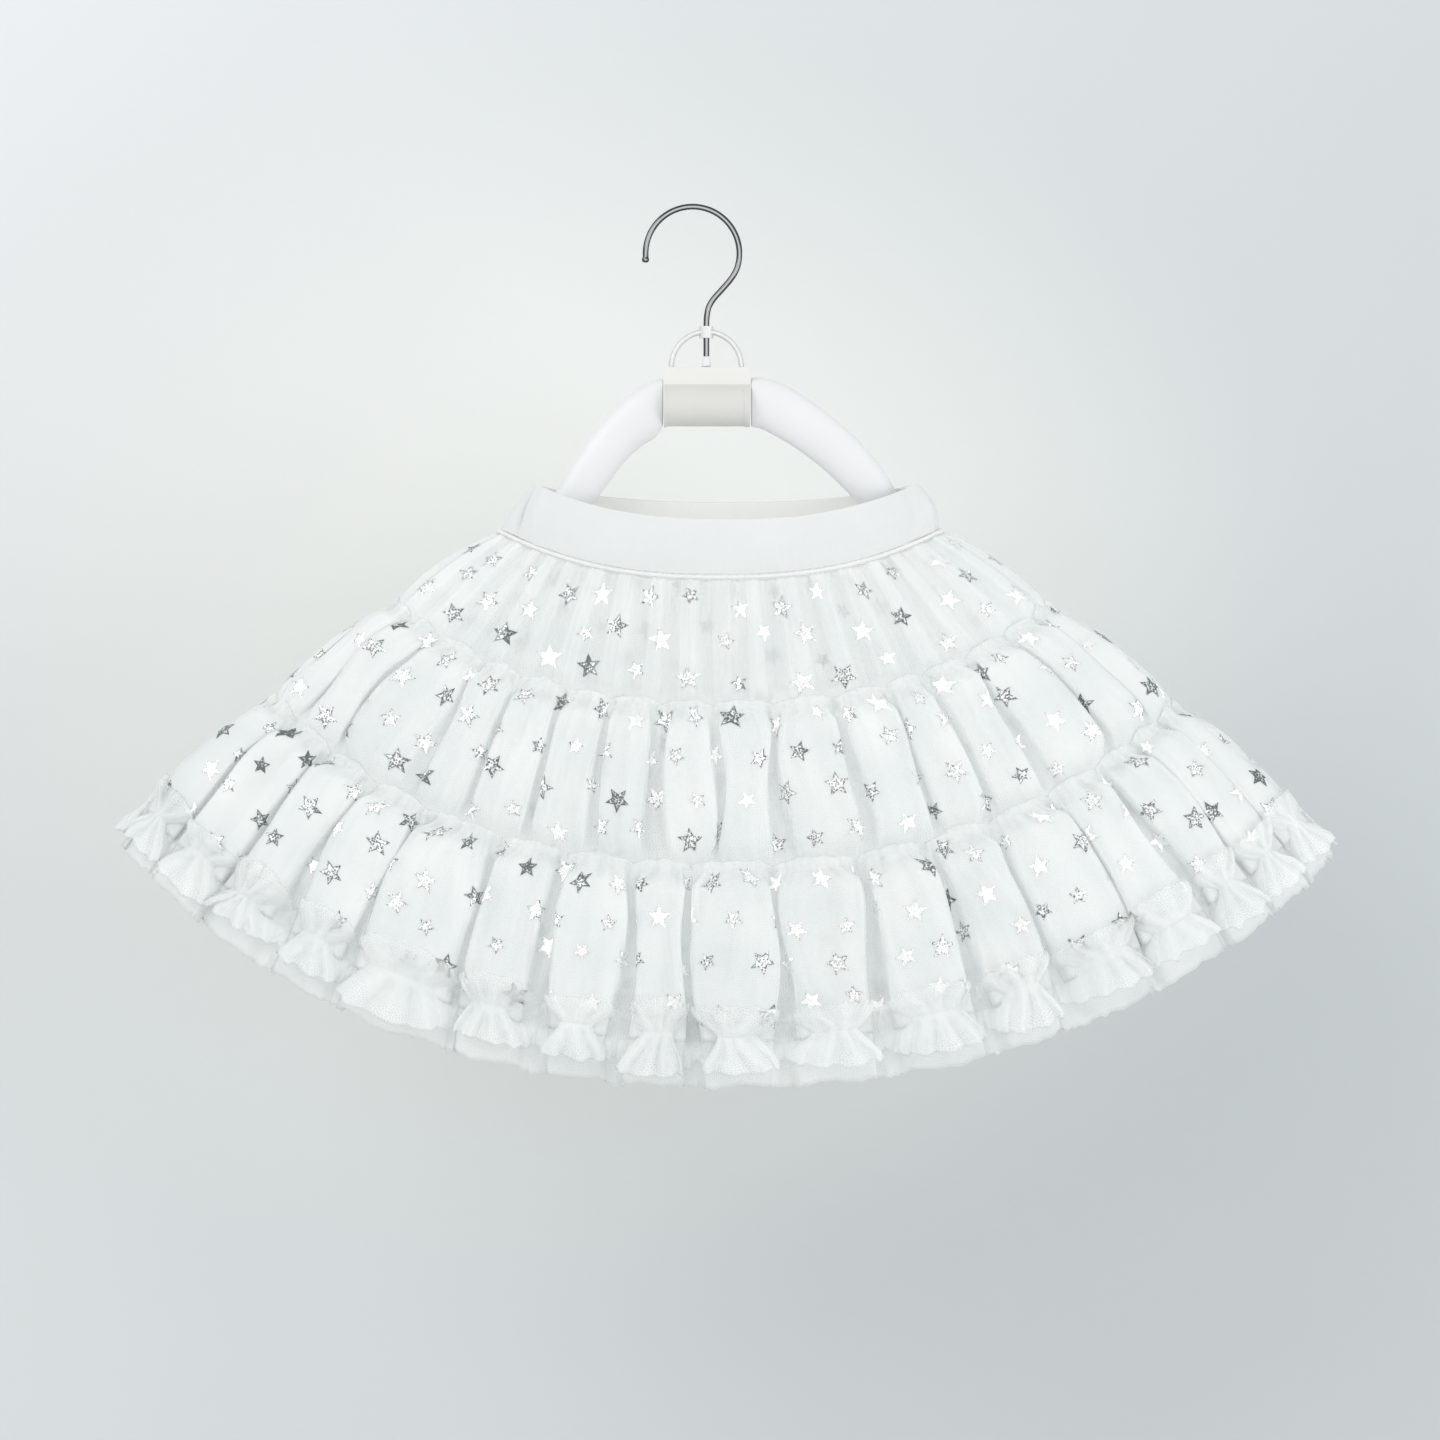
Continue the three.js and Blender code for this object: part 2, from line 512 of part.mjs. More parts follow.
place('hanger_clear_ring', halfRing(), 'clear');
place('hanger_stem_nub', stemNub(), 'plastic');
place('hanger_centre_block', centreBlock(), 'plastic');
place('hanger_left_arm', arm(leftArm, -1), 'plastic');
place('hanger_right_arm', arm(rightArm, 1), 'plastic');

export default tutu;
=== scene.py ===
import math

import bmesh
import bpy
import numpy as np
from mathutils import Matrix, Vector


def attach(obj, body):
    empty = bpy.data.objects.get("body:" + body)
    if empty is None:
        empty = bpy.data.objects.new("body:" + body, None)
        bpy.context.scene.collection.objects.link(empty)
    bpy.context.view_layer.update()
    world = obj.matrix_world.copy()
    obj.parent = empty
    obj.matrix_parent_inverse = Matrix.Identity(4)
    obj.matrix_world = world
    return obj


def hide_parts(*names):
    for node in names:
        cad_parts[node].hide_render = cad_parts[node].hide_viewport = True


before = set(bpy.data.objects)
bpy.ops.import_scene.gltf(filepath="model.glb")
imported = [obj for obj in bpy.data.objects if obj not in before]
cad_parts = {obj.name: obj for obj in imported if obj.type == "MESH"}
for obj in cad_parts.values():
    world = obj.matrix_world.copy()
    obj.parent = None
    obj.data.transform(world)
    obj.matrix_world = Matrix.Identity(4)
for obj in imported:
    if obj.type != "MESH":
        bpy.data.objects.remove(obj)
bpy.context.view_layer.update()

mm = 0.001

# the skirt before it is gathered: a flattened cone that fans out to the sides (mm, degrees)
skirtForm = {
    "centreX": 12, "halfWidth": 97, "sideRound": 0.9, "frontRound": 0.85,
    "frontDepth": 20, "backDepth": 15, "hemFrontDepth": 58, "hemBackDepth": 42, "deepen": 0.9,
    "sideZ": -141.5, "frontSag": 20.5, "backSag": 13, "sagRound": 2.2,
    "slant": 225, "lean": 50.5, "leanEase": 0.12, "rightLean": 1.35, "leftLean": 1.9,
    "leftShort": 0.04, "puff": 2.6, "seamWave": 0.3,
}
# each seam and edge, in mm down the cloth from the waist
seamLines = {"waist": 1.5, "first": 58, "second": 129, "pinch": 202, "tierEnd": 205, "underEnd": 224.5}


def ease(value):
    v = np.clip(value, 0, 1)
    return v * v * (3 - 2 * v)


def signedPower(value, exponent):
    return np.sign(value) * np.abs(value) ** exponent


def bell(value):
    return np.exp(-value ** 2)


def ovalRing(s, c, centreX, halfWidth, depth, sideZ, sag):
    # oval round the body that dips at the front and back; s and c are the sine and cosine of the way round
    f = skirtForm
    x = centreX + halfWidth * signedPower(s, f["sideRound"])
    return x, -signedPower(c, f["frontRound"]) * depth, sideZ - sag * (1 - np.abs(s) ** f["sagRound"])


def bareSkirt(angle, down):
    # points at angles from the front, positive to the right, and at distances down the cloth
    f = skirtForm
    s, c = np.sin(np.radians(angle)), np.cos(np.radians(angle))
    run = down * (1 - f["leftShort"] * np.maximum(0, -s) ** 2)
    share = np.maximum(0, run) / f["slant"]
    top = np.where(c > 0, f["frontDepth"], f["backDepth"])
    hem = np.where(c > 0, f["hemFrontDepth"], f["hemBackDepth"])
    sag = np.where(c > 0, f["frontSag"], f["backSag"])
    fan = np.abs(s) ** np.where(s > 0, f["rightLean"], f["leftLean"])
    lean = math.radians(f["lean"]) * np.sign(s) * fan * (1 + f["leanEase"] - f["leanEase"] * share)
    tip = np.cos(np.arcsin((hem - top) / f["slant"] * np.abs(c)))
    depth = top + (hem - top) * share ** f["deepen"]
    x, y, z = ovalRing(s, c, f["centreX"], f["halfWidth"], depth, f["sideZ"], sag)
    return np.stack([x + run * np.sin(lean), y, z - run * np.cos(lean) * tip], axis=-1)


def unit(vectors):
    return vectors / np.maximum(1e-9, np.linalg.norm(vectors, axis=-1, keepdims=True))


def skirtFrame(angle, down):
    # outward and sideways directions of the bare skirt
    across = bareSkirt(angle + 1, down) - bareSkirt(angle - 1, down)
    along = bareSkirt(angle, down + 1) - bareSkirt(angle, down - 1)
    return unit(np.cross(along, across)), unit(across)


# the back carries fewer and wider gathers than the front, staggered and of uneven fullness
backGathers = {
    "from": 95, "to": 265, "leftOut": 3, "inEvery": 5, "narrow": 0.985,
    "stagger": 2.4, "staggerTurn": 6.5, "full": 0.86, "uneven": 0.1, "unevenTurn": 11,
}


def allRound(front):
    b = backGathers
    back = []
    for index, (angle, hollow, crest, *gaps) in enumerate(front):
        at = 180 + angle * b["narrow"] + b["stagger"] * math.sin(math.radians(angle * b["staggerTurn"]))
        full = crest * (b["full"] + b["uneven"] * math.sin(math.radians(angle * b["unevenTurn"])))
        if index % b["inEvery"] != b["leftOut"] and b["from"] < at < b["to"]:
            back.append((at, hollow, full, *gaps))
    return np.array(sorted(front + back))


def gatherAt(folds, angle):
    # place inside the gather (0 to 1), its row, the next row and its width in degrees
    first = folds[0, 0]
    turned = first + np.mod(angle - first, 360)
    index = np.clip(np.searchsorted(folds[:, 0], turned, side="right") - 1, 0, len(folds) - 1)
    following = (index + 1) % len(folds)
    end = np.where(index + 1 < len(folds), folds[following, 0], folds[0, 0] + 360)
    start = folds[index, 0]
    return np.clip((turned - start) / (end - start), 0, 1), folds[index], folds[following], end - start


def ownShare(value, turn):
    # an uneven share from 0 to 1 that each gather keeps as its own
    return np.mod(value * turn, 1)


def gapFloor(share, row, following):
    return -(row[..., 1] + (following[..., 1] - row[..., 1]) * share)


# the section of one gather: how far its neck reaches and varies, and how its crown and walls round over
gatherForm = {
    "neckRun": 0.3, "neckLeast": 0.6, "neckMore": 0.8, "crownFlat": 0.5, "crownRound": 0.8,
    "crownEnds": 0.84, "crownMiddle": 0.24, "wallRound": 0.85,
}


def foldShape(tier, folds, angle, t):
    # height of the gathers, and how far up its side wall each point lies (0 in the gap, 1 on the crest)
    g = gatherForm
    share, row, following = gatherAt(folds, angle)[:3]
    nearer = np.where((share < 0.5)[..., None], row, following)
    side = np.minimum(share, 1 - share)
    down = np.clip(t, 0, 1)
    gap = nearer[..., 3] + (nearer[..., 4] - nearer[..., 3]) * down
    drawn = g["neckLeast"] + g["neckMore"] * ownShare(nearer[..., 2], 7.3)
    neck = tier["neck"] * drawn * (1 - ease(t / g["neckRun"]))
    rise = ease((side - 0.5 * (gap + neck)) / tier["wallWidth"])
    crown = g["crownFlat"] + (1 - g["crownFlat"]) * np.sin(np.pi * share) ** g["crownRound"]
    crown = crown * (g["crownEnds"] + g["crownMiddle"] * np.sin(np.pi * down))
    floor, crest = gapFloor(share, row, following) * tier["hollow"], row[..., 2] * tier["full"]
    return floor + (crest * crown - floor) * rise ** g["wallRound"], rise


def softHeight(folds, angle):
    share, row, following = gatherAt(folds, angle)[:3]
    floor = gapFloor(share, row, following)
    return floor + (row[..., 2] - floor) * np.sin(np.pi * share)


def seamHeight(folds, angle):
    return skirtForm["seamWave"] * softHeight(folds, angle)


def columnsOf(folds, perFold, crowding=0.62):
    # angles of the columns, closer together in the gaps
    out = []
    for index in range(len(folds)):
        end = folds[index + 1, 0] if index + 1 < len(folds) else folds[0, 0] + 360
        u = np.arange(perFold) / perFold
        u = u - crowding * np.sin(2 * np.pi * u) / (2 * np.pi)
        out.append(folds[index, 0] + (end - folds[index, 0]) * u)
    return np.concatenate(out)


def ripple(phase, lengths, seed):
    # uneven wave made of a few lengths that never fall into step
    local = np.random.default_rng(seed)
    total = 0
    for length in lengths:
        total = total + np.sin(2 * np.pi * phase / length + local.uniform(0, 6.28)) / len(lengths)
    return total


def roundWay(angles, down):
    # distance round the bare skirt at one height, for waves measured in mm, and the mm to a degree
    steps = np.linalg.norm(np.diff(bareSkirt(angles, np.full_like(angles, down)), axis=0), axis=1)
    around = np.concatenate([[0], np.cumsum(steps)])
    return around, around[-1] / (angles[-1] - angles[0])


def newPiece(name, points, faces):
    # a linked object from points in mm
    mesh = bpy.data.meshes.new(name)
    mesh.from_pydata((np.reshape(points, (-1, 3)) * mm).tolist(), [], faces)
    piece = bpy.data.objects.new(name, mesh)
    bpy.context.scene.collection.objects.link(piece)
    return piece


def flatMap(piece, corners):
    # each corner's place on the flat cloth, in mm, kept as the UV map that weave and print follow
    layer = piece.data.uv_layers.new(name="cloth")
    layer.data.foreach_set("uv", (corners * mm).astype(np.float32).ravel())
    piece.data.update()


def pointValue(piece, name, values):
    made = piece.data.attributes.new(name, "FLOAT", "POINT")
    made.data.foreach_set("value", np.asarray(values, dtype=np.float32).ravel())


def tubeMesh(name, points, widths, lengths, density=None):
    # closed ring of columns from rows of points, with the flat cloth's own size
    rows, columns = points.shape[:2]
    index = np.arange(rows * columns).reshape(rows, columns)
    right = np.roll(index, -1, axis=1)
    faces = np.stack([index[:-1], index[1:], right[1:], right[:-1]], axis=-1).reshape(-1, 4)
    piece = newPiece(name, points, faces.tolist())
    piece.data.polygons.foreach_set("use_smooth", [True] * len(faces))
    if density is not None:
        pointValue(piece, "doubled", density)
    u = np.append(widths, widths[-1] + (widths[-1] - widths[-2]))
    v = np.asarray(lengths)
    i, j = np.meshgrid(np.arange(rows - 1), np.arange(columns), indexing="ij")
    square = ((0, 0), (0, 1), (1, 1), (1, 0))
    corners = [np.stack([u[j + across], v[i + along]], -1) for across, along in square]
    flatMap(piece, np.stack(corners, axis=2))
    return piece


def onlySelect(piece):
    bpy.ops.object.select_all(action="DESELECT")
    piece.select_set(True)
    bpy.context.view_layer.objects.active = piece


def applyModifier(piece, kind, **settings):
    made = piece.modifiers.new(kind.lower(), kind)
    for key, value in settings.items():
        setattr(made, key, value)
    onlySelect(piece)
    bpy.ops.object.modifier_apply(modifier=made.name)


def thicken(piece, thickness):
    applyModifier(piece, "SOLIDIFY", thickness=thickness * mm, offset=0, use_even_offset=False)


def roundOver(piece, width, sharp=50):
    angle = math.radians(sharp)
    applyModifier(piece, "BEVEL", width=width * mm, segments=3, limit_method="ANGLE", angle_limit=angle)


def finish(piece, material, slot, *nodes):
    piece.data.materials.clear()
    piece.data.materials.append(material)
    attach(piece, "root")
    if nodes:
        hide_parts(*nodes)


def dressCloth(piece, look, material, width, length):
    # finish, and the flat size of the cloth that shows, in mm
    finish(piece, material, look["slot"], look["replaces"])
    print(piece.name, "flat", round(width), "x", round(length), "mm, faces", len(piece.data.polygons))


def linear(code):
    code = code.lstrip("#")
    out = []
    for k in (0, 2, 4):
        c = int(code[k:k + 2], 16) / 255
        out.append(c / 12.92 if c <= 0.04045 else ((c + 0.055) / 1.055) ** 2.4)
    return (*out, 1)


def node(tree, kind, settings=None, **inputs):
    # one node: its settings, then its inputs as values or as links from other nodes or their sockets
    made = tree.nodes.new("ShaderNode" + kind)
    for key, value in (settings or {}).items():
        setattr(made, key, value)
    for key, value in inputs.items():
        numbered = key[0] == "i" and key[1:].isdigit()
        socket = made.inputs[int(key[1:]) if numbered else key.replace("_", " ")]
        if isinstance(value, bpy.types.Node):
            value = value.outputs[0]
        if isinstance(value, bpy.types.NodeSocket):
            tree.links.new(value, socket)
        else:
            socket.default_value = value
    return made


def newMaterial(name):
    material = bpy.data.materials.new(name)
    material.use_nodes = True
    material.node_tree.nodes.clear()
    return material, material.node_tree


def closeMaterial(material, shader):
    node(material.node_tree, "OutputMaterial", Surface=shader)
    return material


def fillRamp(ramp, first, last, *between):
    # stops of a colour ramp, each its place from 0 to 1 and its colour
    for element, (place, colour) in zip(ramp.color_ramp.elements, (first, last)):
        element.position = place
        element.color = linear(colour)
    for place, colour in between:
        ramp.color_ramp.elements.new(place).color = linear(colour)


netLook = {
    "colour": "#FBFCFC", "shade": "#F2F5F5", "roughness": 0.7, "sheen": 0.3, "through": 0.48,
    "mesh": 0.9, "uneven": 0.8,                      # opening of the net in mm
    "thread": 0.42, "hole": 0.31, "more": 0.5,       # cover of threads and openings, and what density adds
}


def netMaterial(name, cover=1.0):
    # nylon tulle: a fine knitted net, see-through singly and whiter where it doubles
    material, tree = newMaterial(name)
    place = node(tree, "UVMap", {"uv_map": "cloth"})
    cells = node(tree, "TexVoronoi", {"feature": "DISTANCE_TO_EDGE", "voronoi_dimensions": "2D"},
                 Vector=place, Scale=1 / (netLook["mesh"] * mm), Randomness=netLook["uneven"])
    thread = node(tree, "MapRange", {"interpolation_type": "SMOOTHSTEP"}, Value=cells, From_Min=0.04,
                  From_Max=0.24, To_Min=netLook["thread"] * cover, To_Max=netLook["hole"] * cover)
    gathered = node(tree, "Attribute", {"attribute_name": "doubled"})
    cover = node(tree, "Math", {"operation": "MULTIPLY_ADD", "use_clamp": True},
                 i0=gathered.outputs["Fac"], i1=netLook["more"], i2=thread)
    cloud = node(tree, "TexNoise", {"noise_dimensions": "2D"}, Vector=place, Scale=38.0, Detail=0.0)
    tone = node(tree, "Mix", {"data_type": "RGBA"}, i0=cloud,
                i6=linear(netLook["colour"]), i7=linear(netLook["shade"])).outputs[2]
    shader = node(tree, "BsdfPrincipled", Roughness=netLook["roughness"], Sheen_Weight=netLook["sheen"],
                  Sheen_Roughness=0.5, Base_Color=tone, Alpha=cover, Specular_IOR_Level=0.3)
    # part of the light goes on through the threads, so folds stay pale
    through = node(tree, "BsdfTranslucent", Color=tone)
    clear = node(tree, "BsdfTransparent")
    lit = node(tree, "MixShader", i0=cover, i1=clear, i2=through)
    return closeMaterial(material, node(tree, "MixShader", i0=netLook["through"], i1=shader, i2=lit))


# the grit is in mm
# bright, mid and dark: levels of a painted reflection on the silver
foilLook = {"bright": "#FFFFFF", "mid": "#C4C9CA", "dark": "#6E7374", "grit": 0.8}


def foilMaterial():
    # silver hot-stamp foil broken up by the net under it, with its grit drawn coarser than it is; each star's
    # shade of silver is a painted reflection set by its tint
    material, tree = newMaterial("silver_foil_print")
    place = node(tree, "UVMap", {"uv_map": "cloth"})
    paintedTint = node(tree, "Attribute", {"attribute_name": "paintedTint"})
    grain = node(tree, "TexVoronoi", {"feature": "F1"}, Vector=place,
                 Scale=1 / (foilLook["grit"] * mm), Randomness=1.0)
    level = node(tree, "Math", {"operation": "MULTIPLY_ADD"}, i0=grain, i1=1.5, i2=paintedTint.outputs["Fac"])
    ramp = node(tree, "ValToRGB", Fac=level)
    fillRamp(ramp, (0.36, foilLook["dark"]), (1.0, foilLook["bright"]), (0.68, foilLook["mid"]))
    bump = node(tree, "Bump", Strength=0.35, Distance=0.2 * mm, Height=grain)
    shader = node(tree, "BsdfPrincipled", Base_Color=ramp, Metallic=0.85, Roughness=0.34, Normal=bump)
    return closeMaterial(material, shader)


# the ribs are in mm
elasticLook = {"rib": 1.4, "roughness": 0.72, "sheen": 0.35, "glow": "#F4F4F0", "through": 0.3}


def elasticMaterial(name, light, dark):
    # plush knitted waist elastic: fine upright ribs with a soft brushed face
    material, tree = newMaterial(name)
    place = node(tree, "UVMap", {"uv_map": "cloth"})
    ribs = node(tree, "TexWave", {"wave_type": "BANDS", "bands_direction": "X"}, Vector=place,
                Scale=2000 / (elasticLook["rib"] * 6.2832), Distortion=0.6, Detail=1.0)
    fuzz = node(tree, "TexNoise", Vector=place, Scale=1400.0, Detail=2.0)
    both = node(tree, "Math", {"operation": "MULTIPLY_ADD"}, i0=ribs.outputs["Fac"], i1=0.5, i2=fuzz)
    cloud = node(tree, "TexNoise", Vector=place, Scale=30.0, Detail=2.0)
    tone = node(tree, "Mix", {"data_type": "RGBA"}, i0=cloud, i6=linear(light), i7=linear(dark)).outputs[2]
    bump = node(tree, "Bump", Strength=0.25, Distance=0.3 * mm, Height=both)
    shader = node(tree, "BsdfPrincipled", Base_Color=tone, Roughness=elasticLook["roughness"],
                  Sheen_Weight=elasticLook["sheen"], Sheen_Roughness=0.4, Normal=bump)
    through = node(tree, "BsdfTranslucent", Color=linear(elasticLook["glow"]))
    return closeMaterial(material, node(tree, "MixShader", i0=elasticLook["through"], i1=shader, i2=through))


# The three tiers of star net, in mm, degrees and shares:
# wallWidth, neck, hollow, full: how steep the gathers' sides are, how narrow they start, and how much of
# the depths and heights in folds is used; overhang, fallOver, wander: how a gather leans over and strays
# pucker, crumple, streak: small waves near the seam, over the whole tier and lengthwise
# header, stand, edge: puff, rise and height of the free edge above the seam; tuck: dip at the seam below
# edgeLine, pleat, streakLine: what the turned edges, inner pleats and streaks add to the net's density
# folds: where each gap lies, how deep it is, how far the gather after it stands out (degrees, mm),
# and how wide the gap is at the top and at the end of the tier (share of the gather)
# creases, laid in one by one: angle, start and end down the tier (0 to 1), depth and width in mm
netSheet = {"slot": "tulle", "restsOn": ["elastic_waistband"], "thickness": 0.3}
tierOne = {
    **netSheet, "name": "star_net_tier_1", "replaces": "tier_1", "top": "waist", "bottom": "first",
    "seed": 11, "perFold": 26, "rows": 42, "wallWidth": 0.4, "neck": 0.0, "hollow": 0.35, "full": 0.45,
    "overhang": 0.0, "fallOver": 0.0, "wander": 0.9, "pucker": 0.65, "puckerLength": 16, "crumple": 0.5,
    "streak": 0.12, "header": 0.0, "stand": 0, "edge": 0, "tuck": 0.35,
    "edgeLine": 0.1, "pleat": 0.25, "streakLine": 0.06,
    "folds": [
        (-82, 1.2, 1.4, 0.0, 0.05), (-69, 1.6, 1.8, 0.04, 0.0), (-57, 1.7, 1.5, 0.08, 0.02),
        (-50, 1.9, 1.7, 0.0, 0.05), (-42.8, 1.5, 1.9, 0.04, 0.0), (-35.6, 2.0, 2.0, 0.08, 0.02),
        (-26.5, 2.2, 2.1, 0.0, 0.05), (-17.4, 1.9, 1.7, 0.04, 0.0), (-10.5, 1.6, 2.0, 0.08, 0.02),
        (-2.8, 2.2, 1.4, 0.0, 0.05), (3.6, 1.7, 1.9, 0.04, 0.0), (9.9, 2.0, 2.1, 0.08, 0.02),
        (19.5, 2.2, 1.7, 0.0, 0.05), (27.2, 1.6, 2.0, 0.04, 0.0), (35.7, 2.1, 2.2, 0.08, 0.02),
        (44.8, 1.8, 1.9, 0.0, 0.05), (53.5, 1.6, 2.1, 0.04, 0.0), (66, 1.8, 1.6, 0.08, 0.02),
        (80, 1.2, 1.4, 0.0, 0.05),
    ],
    "creases": [
        (-62, 0.05, 0.8, -1.0, 5), (-31, 0.1, 0.7, -0.9, 4), (-13.5, 0.0, 0.9, 1.0, 3.5),
        (-6, 0.05, 0.7, -1.0, 3), (6.5, 0.0, 0.85, 0.9, 3), (14, 0.1, 0.95, -1.1, 4),
        (23, 0.0, 0.6, 0.8, 3.5), (31, 0.1, 0.8, -1.0, 4), (49, 0.0, 0.9, -0.9, 4), (60, 0.1, 0.7, 0.9, 5),
        (118, 0, 0.8, -1, 5), (151, 0.1, 0.7, 0.9, 4), (176, 0, 0.9, -1.1, 4), (207, 0.1, 0.8, 1.0, 4),
        (238, 0, 0.7, -0.9, 5),
    ],
}
tierTwo = {
    **netSheet, "name": "star_net_tier_2", "replaces": "tier_2", "top": "first", "bottom": "second",
    "seed": 23, "perFold": 28, "rows": 42, "wallWidth": 0.13, "neck": 0.04, "hollow": 0.32, "full": 0.72,
    "overhang": 0.11, "fallOver": 0.17, "wander": 4.2, "pucker": 0.9, "puckerLength": 13, "crumple": 0.8,
    "streak": 0.25, "header": 1.5, "stand": 0.3, "edge": 4.2, "tuck": 0.4,
    "edgeLine": 0.8, "pleat": 0.5, "streakLine": 0.14,
    "folds": [
        (-84, 2.0, 2.6, 0.1, 0.05), (-72.3, 3.0, 3.0, 0.05, 0.12), (-60.4, 3.4, 3.4, 0.08, 0.1),
        (-47.9, 3.2, 2.6, 0.04, 0.14), (-39.4, 3.8, 3.3, 0.06, 0.08), (-30.4, 3.6, 3.0, 0.1, 0.12),
        (-21.4, 3.2, 3.8, 0.04, 0.1), (-11.4, 4.6, 3.6, 0.34, 0.3), (-1.2, 3.4, 3.9, 0.06, 0.1),
        (9.2, 4.8, 3.8, 0.04, 0.2), (20, 3.6, 3.4, 0.06, 0.1), (29.8, 4.0, 2.8, 0.1, 0.06),
        (37, 3.2, 3.6, 0.05, 0.12), (47.2, 3.6, 3.4, 0.04, 0.16), (58.5, 3.4, 3.2, 0.08, 0.1),
        (71, 2.8, 2.6, 0.05, 0.12), (83, 2.0, 2.4, 0.08, 0.06),
    ],
    "creases": [
        (-66, 0.1, 0.6, -1.2, 6), (-54, 0.0, 0.8, -1.4, 5), (-43, 0.1, 0.5, 1.0, 4),
        (-35, 0.0, 0.7, -1.3, 4), (-26, 0.05, 0.95, -1.8, 4), (-16, 0.0, 0.55, 1.0, 3.5),
        (-6, 0.05, 0.8, -1.4, 4), (4.4, 0.0, 0.9, -1.3, 4), (14.5, 0.1, 0.7, 1.1, 4),
        (25, 0.0, 0.9, -1.4, 4), (33, 0.0, 0.6, 1.0, 4), (42, 0.1, 0.9, -1.3, 5), (52, 0.0, 0.6, -1.2, 5),
        (65, 0.1, 0.8, -1.2, 6), (110, 0, 0.8, -1.3, 6), (142, 0.05, 0.9, -1.4, 5), (160, 0, 0.6, 1.0, 4),
        (196, 0.1, 0.9, -1.5, 4), (219, 0, 0.7, -1.2, 5), (247, 0.1, 0.8, 1.1, 6),
    ],
}
tierThree = {
    **netSheet, "name": "star_net_tier_3", "replaces": "tier_3", "top": "second", "bottom": "tierEnd",
    "seed": 37, "perFold": 30, "rows": 40, "wallWidth": 0.12, "neck": 0.06, "hollow": 0.34, "full": 0.85,
    "overhang": 0.13, "fallOver": 0.18, "wander": 4.8, "pucker": 1.0, "puckerLength": 15, "crumple": 0.9,
    "streak": 0.28, "header": 1.9, "stand": 0.3, "edge": 4.6, "tuck": 0.0,
    "edgeLine": 0.9, "pleat": 0.5, "streakLine": 0.15,
    "folds": [
        (-84, 2.4, 3.0, 0.06, 0.1), (-72.4, 4.0, 4.4, 0.05, 0.2), (-62, 4.4, 4.0, 0.08, 0.14),
        (-53, 4.2, 4.4, 0.04, 0.22), (-44.2, 4.6, 4.8, 0.1, 0.16), (-33.6, 5.4, 5.0, 0.06, 0.12),
        (-24.5, 5.8, 4.6, 0.14, 0.34), (-14.8, 5.2, 5.2, 0.1, 0.24), (-5.3, 6.2, 5.8, 0.06, 0.34),
        (7.5, 6.4, 5.6, 0.03, 0.1), (18.5, 5.8, 5.2, 0.04, 0.2), (27.4, 5.0, 5.0, 0.06, 0.16),
        (36.3, 5.4, 4.8, 0.1, 0.2), (45.6, 4.8, 4.6, 0.04, 0.14), (54.4, 4.4, 4.4, 0.08, 0.22),
        (63.2, 4.2, 4.2, 0.05, 0.14), (73.2, 3.6, 4.0, 0.06, 0.18), (84, 2.4, 3.0, 0.06, 0.1),
    ],
    "creases": [
        (-67, 0.1, 0.8, -1.5, 6), (-57, 0.0, 0.6, 1.2, 5), (-48, 0.05, 0.9, -1.6, 5),
        (-39, 0.0, 0.7, -1.7, 5), (-28, 0.05, 1.0, -2.2, 5), (-19.5, 0.0, 0.7, 1.3, 4),
        (-10, 0.1, 1.0, -1.6, 4), (-1.5, 0.0, 0.6, -1.4, 4), (2.5, 0.3, 1.0, 1.2, 4),
        (12.5, 0.0, 0.9, -1.8, 5), (23, 0.05, 0.7, -1.5, 4), (32, 0.0, 1.0, -1.7, 5),
        (41, 0.1, 0.8, 1.3, 5), (50, 0.0, 0.9, -1.6, 5), (59, 0.1, 0.7, -1.4, 5), (68, 0.0, 0.9, -1.4, 6),
        (112, 0, 0.9, -1.7, 7), (131, 0.1, 0.8, -1.6, 6), (146, 0, 1, -1.8, 5), (168, 0.1, 0.9, -1.6, 5),
        (181, 0, 0.7, 1.3, 5), (211, 0.05, 1, -1.8, 5), (226, 0, 0.8, -1.5, 6), (249, 0.1, 0.9, 1.3, 7),
    ],
}
foldsOne, foldsTwo, foldsThree = (allRound(t["folds"]) for t in (tierOne, tierTwo, tierThree))

# what the tiers share
drape = {
    # shares of the tier's height over which it joins the seams, is held by them and evens out
    "joined": 0.15, "settled": 0.82, "heldAbove": 0.05, "heldBelow": 0.06, "evened": 0.9, "evenedTo": 0.6,
    # lengths of the waves round the skirt, and how they sway as they run down, in mm
    "fineWaves": (4.3, 6.7, 10.9), "fineSlant": 0.05, "fineReach": (13, 29),
    "fineUneven": 0.6, "fineStart": 2.5,
    "softWaves": (31, 47), "softSway": 9, "softTurn": 17, "softRun": (9, 23),
    "longWaves": (5.9, 9.3, 14.9), "longSway": 3.5, "longRun": (23, 41),
    "strayWaves": (97, 61, 43), "straySway": 16, "strayRun": (31, 71), "strayFrom": 0.4,
    "puffWaves": (7.1, 17.3), "puffWidth": 3.2, "tuckAt": 1.0, "tuckWidth": 2.6,
    "edgeRows": (1, 0.7, 0.35), "edgeWaves": (9.7, 23, 41),
    # the net's density: least and most added, and where
    "crestFrom": 0.5, "crestRun": 0.35, "crowded": (0.16, 0.36), "edgeAt": 0.84, "edgeWidth": 0.17,
    "pleatAt": (0.32, 0.36), "pleatSlant": 0.14, "pleatWidth": 0.22, "pleatEdge": 0.03,
    "cuff": (0.45, 0.55), "cuffWidth": 3.0, "seam": 0.3, "seamWidth": 4, "fine": 0.25, "ends": 0.65,
    "takenUp": 1.02,                                 # length that the small waves take up
}


def creaseHeight(creases, angle, t, perDegree):
    total = np.zeros(np.broadcast(angle, t).shape)
    for at, start, end, depth, size in creases:
        off = (np.mod(angle - at + 180, 360) - 180) * perDegree     # mm to the side of the crease
        fade = ease((t - start) / 0.15) * ease((end - t) / 0.25)
        total = total + depth * fade * bell(off / size * 1.6)
    return total


